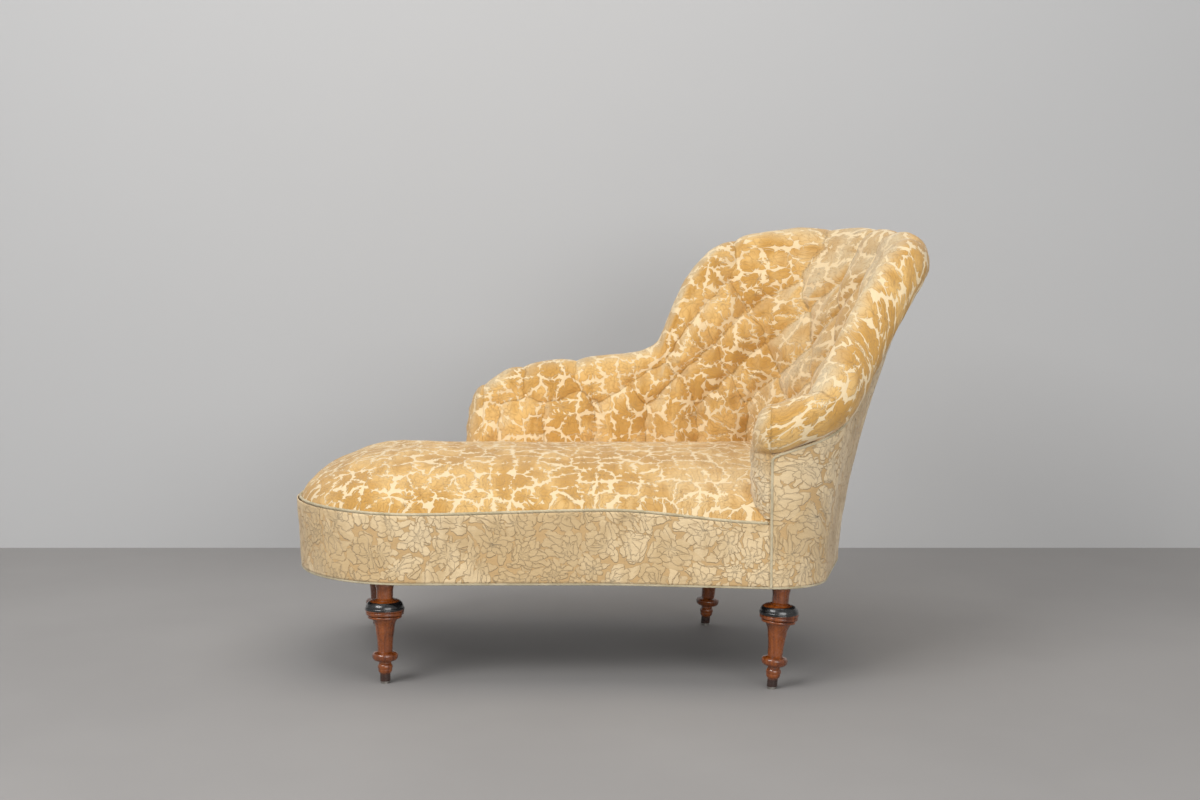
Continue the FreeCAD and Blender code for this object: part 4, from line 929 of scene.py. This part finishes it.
def build_nose(name, u, direction, sandy):
    """Close an arm's end: direction is -1 before the near arm and 1 beyond the far arm, and
    sandy is how sandy the cloth has gone there."""
    points, _, _, run = cover_section(u)
    top = int(points[:, 2].argmax())
    low = wall(u, np.linspace(NOSE_BOTTOM, FACE_FROM, NOSE_LOW_ROWS)[:-1],
               THICK_LOW + PUFF * np.linspace(NOSE_LOW_FULLNESS, 1.0, NOSE_LOW_ROWS)[:-1])
    inner = np.concatenate([low, points[:top + 1]])
    outer_line = points[top:][::-1]
    outer_z, hem_z = outer_line[:, 2], float(outer_line[0, 2])
    _, _, nx, ny = (float(v) for v in plan_at(u))
    ahead = np.array([-ny * direction, nx * direction, 0.0])
    rows, cloth = [], []
    top_z = float(points[top, 2])
    middle = float(roll_height(u))
    for spot in inner:
        z = spot[2]
        if z < hem_z:
            outer = wall(u, z, TACK_OFF)
        else:
            outer = np.array([np.interp(z, outer_z, outer_line[:, k]) for k in range(3)])
        reach = ahead * NOSE_REACH * nose_share(z, top_z)
        angles = np.linspace(0.0, math.pi, NOSE_ARC)[:, None]
        centre, half = (spot + outer) / 2, (spot - outer) / 2
        arc = centre + np.cos(angles) * half + np.sin(angles) * reach
        rows.append(arc)
        along = np.concatenate([[0.0], np.cumsum(np.linalg.norm(np.diff(arc, axis=0), axis=1))])
        cloth += [(run + direction * a, z, 0.0) for a in along]
    count = len(rows)
    grid = np.concatenate(rows)
    outward = normals_of(grid, count, NOSE_ARC)
    if (outward[count // 2 * NOSE_ARC + NOSE_ARC // 2] @ ahead) < 0:
        outward = -outward
    fade = np.tile(np.sin(np.linspace(0.0, math.pi, NOSE_ARC)), count)
    grid = grid + outward * (rough(grid, *NOSE_PUCKERS) * fade)[:, None]
    faces = grid_faces(count, NOSE_ARC, flip=direction > 0)
    inner_side = [i * NOSE_ARC for i in range(count)]
    chord = inner_side + [i + NOSE_ARC - 1 for i in reversed(inner_side)]
    faces.append(tuple(chord) if direction > 0 else tuple(reversed(chord)))
    faces.append(tuple(range(NOSE_ARC)) if direction < 0 else tuple(reversed(range(NOSE_ARC))))
    # Painted highlight where the arm's end faces the light
    pale_and_highlight = np.clip((outward @ HIGHLIGHT_WAY - NOSE_HIGHLIGHT_FROM) / NOSE_HIGHLIGHT_SPAN, 0.0, 1.0)
    below_hem = grid[:, 2] <= hem_z
    outer_side = np.tile(np.arange(NOSE_ARC) > NOSE_ARC // 2, count)
    own = np.where(outer_side & below_hem, 1.0, np.clip(fade / SEAM_SPAN, 0.0, 1.0))
    sand = np.clip((middle - grid[:, 2]) / SAND_SPAN + rough(grid, SAND_EDGE), 0.0, 1.0)
    return new_piece(name, grid, faces, cloth,
                     cloth_marks(len(grid), pale_and_highlight * own, sand * sandy * own))


near_facing = build_nose("near_arm_facing", WALL_FROM, -1, 1.0)
far_facing = build_nose("far_arm_facing", WALL_TO, 1, 0.0)
finish_piece(near_facing, VELVET, ["near_arm_front"])
finish_piece(far_facing, VELVET, ["far_arm_front"])

# Seat: domed top drawn in at its edge. Its edge along the near side, by place along X
EDGE_HEIGHTS = [(-0.66, 0.354), (-0.41, 0.349), (-0.015, 0.358), (0.295, 0.338), (0.33, 0.338)]
# Rise of the dome by distance in from its edge, as a share of its full height
CROWN_PROFILE = [
    (-0.002, -0.10), (0.0005, 0.00), (0.006, 0.15), (0.020, 0.33), (0.047, 0.50), (0.074, 0.62),
    (0.114, 0.785), (0.153, 0.872), (0.206, 0.945), (0.260, 0.99), (0.320, 1.0),
]
FAR_EDGE = 0.352
EDGE_TURN_FROM, EDGE_TURN = -0.12, 0.20
# Rings of the cover run side by side in from the edge, then close in on a line in the middle
SEAT_AROUND = 560
EDGE_DEPTHS = [-0.002, 0.0005, 0.004, 0.008, 0.013]
SEAT_OFFSET = 0.100
OFFSET_DEPTHS = np.linspace(0.020, SEAT_OFFSET, 18)
RIDGE_RINGS = 26
RIDGE_FROM, RIDGE_TO, RIDGE_Y = -0.36, 0.25, -0.040
# The cloth is gathered over this width at the edge
GATHER_WIDTH, GATHER = 0.02, 0.9
SEAT_LUMPS = [(0.090, 0.0030, 0.0), (0.020, 0.0009, 2.0)]
LUMP_FREE_RINGS = 6
SEAT_SKIRT = 0.006
SEAT_PALE, SEAT_PALE_SHARE = (0.30, 1.0, 7.0), 0.8
WELD_GAP = 0.0004


def edge_height(x, y):
    """Height of the seat's upper edge: a slow wave along the near side, level behind."""
    near = smooth_table(np.asarray(x, float), EDGE_HEIGHTS)
    share = np.clip((np.asarray(y, float) - EDGE_TURN_FROM) / EDGE_TURN, 0.0, 1.0)
    return near + (FAR_EDGE - near) * share


def seat_rings():
    """Plan points and distances in from the edge, ring by ring."""
    x, y, nx, ny = plan_at(np.linspace(0.0, PLAN_LENGTH, SEAT_AROUND, endpoint=False))
    inward = np.stack([-nx, -ny], axis=-1)
    edge = np.stack([x, y], axis=-1)
    rings = [(edge + inward * depth, np.full(SEAT_AROUND, depth))
             for depth in np.concatenate([EDGE_DEPTHS, OFFSET_DEPTHS])]
    last, last_depth = rings[-1]
    ridge = np.stack([np.clip(x, RIDGE_FROM, RIDGE_TO), np.full(SEAT_AROUND, RIDGE_Y)], axis=-1)
    to_ridge = np.linalg.norm(ridge - last, axis=1)
    for k in range(1, RIDGE_RINGS + 1):
        share = k / RIDGE_RINGS
        rings.append((last + (ridge - last) * share, last_depth + to_ridge * share))
    return rings


def build_seat():
    """The dome ring by ring, with a short skirt under its edge and a closed underside."""
    points, cloth = [], []
    for spots, depth in seat_rings():
        rise = smooth_table(depth, CROWN_PROFILE)
        level = np.clip(rise, 0, 1)
        edge = edge_height(spots[:, 0], spots[:, 1])
        z = edge * (1 - level) + BORDER_TOP * level + rise * CROWN
        points.append(np.stack([spots[:, 0], spots[:, 1], z], axis=-1))
        gathers = GATHER * np.maximum(GATHER_WIDTH - depth, 0.0)
        cloth += [(x, y - gather, 0.0) for (x, y), gather in zip(spots, gathers)]
    count = len(points)
    grid = np.concatenate(points)
    fade = np.repeat([min(1.0, i / LUMP_FREE_RINGS) for i in range(count)], SEAT_AROUND)
    grid[:, 2] += rough(grid, *SEAT_LUMPS) * fade
    skirt = grid[:SEAT_AROUND].copy()
    skirt[:, 2] = BORDER_TOP - SEAT_SKIRT
    points = np.concatenate([skirt, grid])
    cloth = [(x, y, 0.0) for x, y, _ in skirt] + cloth
    faces = grid_faces(count + 1, SEAT_AROUND, wrap=True)
    faces.append(tuple(reversed(range(SEAT_AROUND))))
    pale_and_highlight = np.clip(rough(points, SEAT_PALE), 0.0, 1.0) * SEAT_PALE_SHARE
    piece = new_piece("seat_cover", points, faces, cloth, cloth_marks(len(points), pale_and_highlight, 0.0))
    weld = piece.modifiers.new("weld", "WELD")
    weld.merge_threshold = WELD_GAP
    return piece


seat_cover = build_seat()
finish_piece(seat_cover, VELVET, ["seat_cushion", "seat_stuffing"])

# Plain covers: the border and the outside of the wall, where the figure is seen larger
PANEL_SCALE = 0.62
PANEL_STEP = 0.005
PANEL_THICK = 0.0022
# The sheet comes off the wall, and its lumps grow, over a part of its height at each edge
RISE_RATE, LUMP_RATE = 6, 8
PANEL_LUMP, FINE_LUMP, FINE_SHARE, FINE_SEED = 0.050, 0.014, 0.35, 4.0
PANEL_PALE, PANEL_PALE_SHARE = (0.16, 1.2, 9.0), 0.7
PANEL_NODES = {"seat_border": ["border_cover"], "outer_back_panel": ["outer_cover_head"],
               "far_side_panel": ["outer_cover_far"]}
BORDER_CLEAR = 0.001


def steps_between(u_from, u_to):
    """Evenly spaced lengths along the plan line."""
    return np.linspace(u_from, u_to, int((u_to - u_from) / PANEL_STEP))


def build_panel(name, us, top, out, rows, uneven):
    """A padded sheet over the wall, from the lower cord up to the height that top gives."""
    grid, cloth = [], []
    share = np.linspace(0.0, 1.0, rows)
    from_edge = np.minimum(share, 1 - share)
    for u in us:
        z = BORDER_BOTTOM + (top(u) - BORDER_BOTTOM) * share
        grid.append(wall(u, z, -out * np.minimum(1.0, RISE_RATE * from_edge)))
        cloth += [(u * PANEL_SCALE, height * PANEL_SCALE, 0.0) for height in z]
    grid = np.concatenate(grid)
    count = len(us)
    outward = normals_of(grid, count, rows)
    _, _, nx, ny = (float(v) for v in plan_at(us[count // 2]))
    if outward[(count // 2) * rows + rows // 2] @ np.array([nx, ny, 0.0]) < 0:
        outward = -outward
    fade = np.tile(np.minimum(1.0, LUMP_RATE * from_edge), count)
    lumps = rough(grid, (PANEL_LUMP, uneven, 0.0), (FINE_LUMP, uneven * FINE_SHARE, FINE_SEED))
    grid = grid + outward * (lumps * fade)[:, None]
    pale_and_highlight = np.clip(rough(grid, PANEL_PALE), 0.0, 1.0) * PANEL_PALE_SHARE
    piece = new_piece(name, grid, grid_faces(count, rows), cloth,
                      cloth_marks(len(grid), pale_and_highlight, 1.0))
    shell = piece.modifiers.new("thickness", "SOLIDIFY")
    shell.thickness = PANEL_THICK
    shell.offset = -1.0
    return finish_piece(piece, VELVET, PANEL_NODES[name])


def tack_line(u):
    """Where the outer covers are tacked under the roll."""
    return float(roll_height(u)) - TACK_DROP


def border_high(u):
    """Upper edge of the border, just under the seat's cord."""
    x, y = (float(v) for v in plan_at(u)[:2])
    return float(edge_height(x, y)) - BORDER_CLEAR


FAR_SEAM = plan_spot(*FAR_SEAM_PLACE)
build_panel("seat_border", steps_between(WALL_TO, WALL_FROM + PLAN_LENGTH),
            border_high, out=0.0012, rows=34, uneven=0.0016)
build_panel("outer_back_panel", steps_between(WALL_FROM, FAR_SEAM),
            tack_line, out=0.001, rows=90, uneven=0.0020)
build_panel("far_side_panel", steps_between(FAR_SEAM, WALL_TO),
            tack_line, out=0.001, rows=90, uneven=0.0020)

# Cords: three strands laid together, sewn on
PIPING, LOWER_PIPING = 0.0034, 0.0028
CORD_STRANDS, CORD_LAY = 3, 0.011
CORD_SIDES, CORD_STEP = 12, 0.0016
# Share of the radius that is solid, and the share that the strands stand over it
CORD_CORE, CORD_STRAND = 0.80, 0.20
# A direction that no cord starts along
CORD_START_SIDE = (0.3, 0.2, 0.93)


def cord_tube(name, points, radius, nodes):
    """A laid cord along a line of points."""
    points = np.asarray(points, float)
    lengths = np.concatenate([[0.0], np.cumsum(np.linalg.norm(np.diff(points, axis=0), axis=1))])
    count = int(lengths[-1] / CORD_STEP)
    along = np.linspace(0.0, lengths[-1], count)
    line = np.stack([np.interp(along, lengths, points[:, k]) for k in range(3)], axis=-1)
    heading = np.gradient(line, axis=0)
    heading /= np.linalg.norm(heading, axis=1, keepdims=True)
    side = np.zeros_like(line)
    side[0] = np.cross(heading[0], CORD_START_SIDE)
    for i in range(count):
        if i:
            side[i] = side[i - 1] - heading[i] * (side[i - 1] @ heading[i])
        side[i] /= np.linalg.norm(side[i])
    other = np.cross(heading, side)
    angles = np.linspace(0.0, FULL_TURN, CORD_SIDES, endpoint=False)
    twist = along / CORD_LAY * FULL_TURN / CORD_STRANDS
    strands = np.abs(np.cos(CORD_STRANDS / 2 * (angles[None, :] - twist[:, None])))
    swell = radius * (CORD_CORE + CORD_STRAND * strands)
    ring = (line[:, None, :] + side[:, None, :] * (np.cos(angles) * swell)[..., None]
            + other[:, None, :] * (np.sin(angles) * swell)[..., None])
    cloth = [(a, angle * radius, 0.0) for a in along for angle in angles]
    faces = grid_faces(count, CORD_SIDES, wrap=True)
    faces.append(tuple(reversed(range(CORD_SIDES))))
    faces.append(tuple(range((count - 1) * CORD_SIDES, count * CORD_SIDES)))
    piece = new_piece(name, ring.reshape(-1, 3), faces, cloth)
    return finish_piece(piece, CORD, nodes)


def plan_line(u_from, u_to, out, height):
    """Points round the plan line, a distance out from it, at heights that depend on the place."""
    us = steps_between(u_from, u_to)
    x, y, nx, ny = plan_at(us)
    z = [height(px, py) for px, py in zip(x, y)]
    return np.stack([x + nx * out, y + ny * out, z], axis=-1)


# The seat's cord: short of the arms at both ends, out from the plan line and over the edge
SEAT_CORD_CLEAR, SEAT_CORD_OUT, SEAT_CORD_RISE = 0.004, 0.0018, 0.001
LOWER_CORD_DROP = 0.0022


def seat_cord_height(x, y):
    return float(edge_height(x, y)) + SEAT_CORD_RISE


def lower_cord_height(x, y):
    return BORDER_BOTTOM - LOWER_CORD_DROP


cord_tube("seat_piping",
          plan_line(WALL_TO + SEAT_CORD_CLEAR, WALL_FROM + PLAN_LENGTH - SEAT_CORD_CLEAR,
                    SEAT_CORD_OUT, seat_cord_height), PIPING, ["seat_cord"])
cord_tube("lower_piping", plan_line(0.0, PLAN_LENGTH, 0.0, lower_cord_height),
          LOWER_PIPING, ["lower_cord"])

# The back's cord: off the wall, in from the arms' ends, and round in its two upper corners
BACK_CORD_DEPTH, BACK_CORD_INSET, BACK_CORD_CORNER = -0.0030, 0.0035, 0.012
BACK_CORD_FOOT = BORDER_BOTTOM - 0.002
UPRIGHT_PARTS, CORNER_PARTS = 40, 7
SLOPE_REACH = 0.002


def under_roll(u):
    """Height of the back's cord, close under the roll's hem however steep that is."""
    rise = float(roll_height(u + SLOPE_REACH) - roll_height(u - SLOPE_REACH)) / (2 * SLOPE_REACH)
    return tack_line(u) - LOWER_PIPING * math.hypot(1.0, rise)


def back_cord_line():
    """Up the near arm's front edge, along under the roll, and down the far arm's end."""
    corner = BACK_CORD_CORNER
    first, last = WALL_FROM + BACK_CORD_INSET, WALL_TO - BACK_CORD_INSET
    top_first, top_last = under_roll(first), under_roll(last)
    angles = [math.pi / 2 * k / CORNER_PARTS for k in range(1, CORNER_PARTS)]
    turns = [(corner * (1 - math.cos(a)), corner * (1 - math.sin(a))) for a in angles]
    places = [(first, z) for z in np.linspace(BACK_CORD_FOOT, top_first - corner, UPRIGHT_PARTS)]
    places += [(first + du, top_first - dz) for du, dz in turns]
    places += [(u, under_roll(u)) for u in steps_between(first + corner, last - corner)]
    places += [(last - du, top_last - dz) for du, dz in reversed(turns)]
    places += [(last, z) for z in np.linspace(top_last - corner, BACK_CORD_FOOT, UPRIGHT_PARTS)]
    return np.array([wall(u, z, BACK_CORD_DEPTH) for u, z in places]).reshape(-1, 3)


cord_tube("back_piping", back_cord_line(), LOWER_PIPING, ["outer_back_cord"])

# Covered buttons, deep in the pits
BUTTON_RADIUS, BUTTON_RISE = 0.0060, 0.0026
BUTTON_RINGS, BUTTON_SIDES = 5, 14
# How far a button stands off its pit, and the flat spot in its middle as a share of its radius
BUTTON_OFF, BUTTON_FLAT = 0.0012, 0.02
SLOPE_STEP = 0.01


def build_buttons():
    """A low dome on each button's place, facing in from the wall."""
    points, faces, cloth = [], [], []
    rings, sides = BUTTON_RINGS, BUTTON_SIDES
    for run, z in BUTTONS:
        u = float(np.interp(run, RUN, RUN_U))
        centre = wall(u, z, crease_depth(u, z) - PIT + BUTTON_OFF).reshape(3)
        above = wall(u, z + SLOPE_STEP, crease_depth(u, z + SLOPE_STEP)).reshape(3)
        up = above - wall(u, z, crease_depth(u, z)).reshape(3)
        up /= np.linalg.norm(up)
        _, _, nx, ny = (float(v) for v in plan_at(u))
        facing = np.array([-nx, -ny, 0.0])
        facing -= up * (facing @ up)
        facing /= np.linalg.norm(facing)
        across = np.cross(up, facing)
        first = len(points)
        for i in range(rings):
            lift = BUTTON_RISE * math.sin(i / (rings - 1) * math.pi / 2)
            wide = BUTTON_RADIUS * (math.cos(i / (rings - 1) * math.pi / 2) + BUTTON_FLAT)
            for k in range(sides):
                angle = FULL_TURN * k / sides
                sideways, upward = wide * math.cos(angle), wide * math.sin(angle)
                points.append(centre + across * sideways + up * upward + facing * lift)
                cloth.append((run + sideways, z + upward, 0.0))
        faces += grid_faces(rings, sides, wrap=True, first=first)
        faces.append(tuple(reversed(range(first, first + sides))))
        faces.append(tuple(range(first + (rings - 1) * sides, first + rings * sides)))
    return new_piece("cover_buttons", points, faces, cloth,
                     cloth_marks(len(points), 0.0, 0.0))


finish_piece(build_buttons(), VELVET, [])

# Stage: pale floor and wall
WALL_DISTANCE, WALL_HEIGHT = 1.18, 5
STAGE_REACH = 9.0
STAGE_PATCHES = 1.3


def stage_plane(name, corners, colour, roughness, patch_tone, one_sided=False):
    """A flat sheet with faint darker patches; one_sided lets a view from behind through."""
    mesh = bpy.data.meshes.new(name)
    mesh.from_pydata(corners, [], [(0, 1, 2, 3)])
    plane = bpy.data.objects.new(name, mesh)
    bpy.context.scene.collection.objects.link(plane)
    material, g, target = new_material(name, Roughness=roughness)
    place = g.add("TexCoord", {}).outputs["Object"]
    patches = g.step(g.noise(place, STAGE_PATCHES, 4.0).outputs[0], 0.3, 0.7)
    dark = tuple(channel * patch_tone for channel in colour[:3]) + (1.0,)
    g.tree.links.new(g.blend(patches, dark, colour), target["Base Color"])
    plane.data.materials.append(material)
    if one_sided:
        clear = g.add("BsdfTransparent", {}).outputs[0]
        behind = g.add("NewGeometry", {}).outputs["Backfacing"]
        shader = material.node_tree.nodes["Principled BSDF"].outputs[0]
        seen = g.add("MixShader", {0: behind, 1: shader, 2: clear}).outputs[0]
        g.tree.links.new(seen, material.node_tree.nodes["Material Output"].inputs["Surface"])


stage_plane("floor", [(-STAGE_REACH, -STAGE_REACH, 0), (STAGE_REACH, -STAGE_REACH, 0),
                      (STAGE_REACH, STAGE_REACH, 0), (-STAGE_REACH, STAGE_REACH, 0)],
            shade(160, 157, 155), 0.75, 0.92)
stage_plane("backdrop", [(-STAGE_REACH, WALL_DISTANCE, 0), (STAGE_REACH, WALL_DISTANCE, 0),
                         (STAGE_REACH, WALL_DISTANCE, WALL_HEIGHT),
                         (-STAGE_REACH, WALL_DISTANCE, WALL_HEIGHT)],
            shade(200, 200, 200), 0.9, 0.99, one_sided=True)


def soft_light(name, place, aim, wide, power):
    """A soft lamp of a width and height, turned to the point it lights."""
    light = bpy.data.lights.new(name, "AREA")
    light.shape = "RECTANGLE"
    light.size, light.size_y = wide
    light.energy = power
    lamp = bpy.data.objects.new(name, light)
    lamp.location = place
    lamp.rotation_mode = "QUATERNION"
    lamp.rotation_quaternion = (Vector(aim) - Vector(place)).to_track_quat("-Z", "Y")
    bpy.context.scene.collection.objects.link(lamp)


soft_light("key_left", (-2.4, -2.6, 2.9), (0.0, 0.0, 0.4), (2.2, 1.6), 84.0)
soft_light("fill_front", (1.5, -4.3, 1.4), (0.1, 0.0, 0.4), (3.0, 1.8), 76.0)
soft_light("top", (0.0, -0.2, 3.4), (0.0, 0.1, 0.3), (3.0, 2.2), 26.0)

SKY_STRENGTH = 0.42
world = bpy.data.worlds.new("studio")
world.use_nodes = True
sky = world.node_tree.nodes["Background"].inputs
sky["Color"].default_value = (1.0, 1.0, 1.0, 1.0)
sky["Strength"].default_value = SKY_STRENGTH
bpy.context.scene.world = world
bpy.context.scene.view_settings.view_transform = "Standard"

# Camera at the photograph's viewing angle: lens and sensor in millimetres
LENS, SENSOR = 50.0, 36.0
EYE = (-0.0345, -3.6087, 0.892)
# It looks down: the horizon lies this high over the middle, both in picture points
HORIZON_RISE, FOCAL_POINTS = 160, 1667
PITCH_DOWN = math.atan(HORIZON_RISE / FOCAL_POINTS)
camera_data = bpy.data.cameras.new("camera")
camera_data.lens = LENS
camera_data.sensor_width = SENSOR
camera = bpy.data.objects.new("camera", camera_data)
camera.location = EYE
camera.rotation_euler = (math.pi / 2 - PITCH_DOWN, 0.0, 0.0)
bpy.context.scene.collection.objects.link(camera)
bpy.context.scene.camera = camera
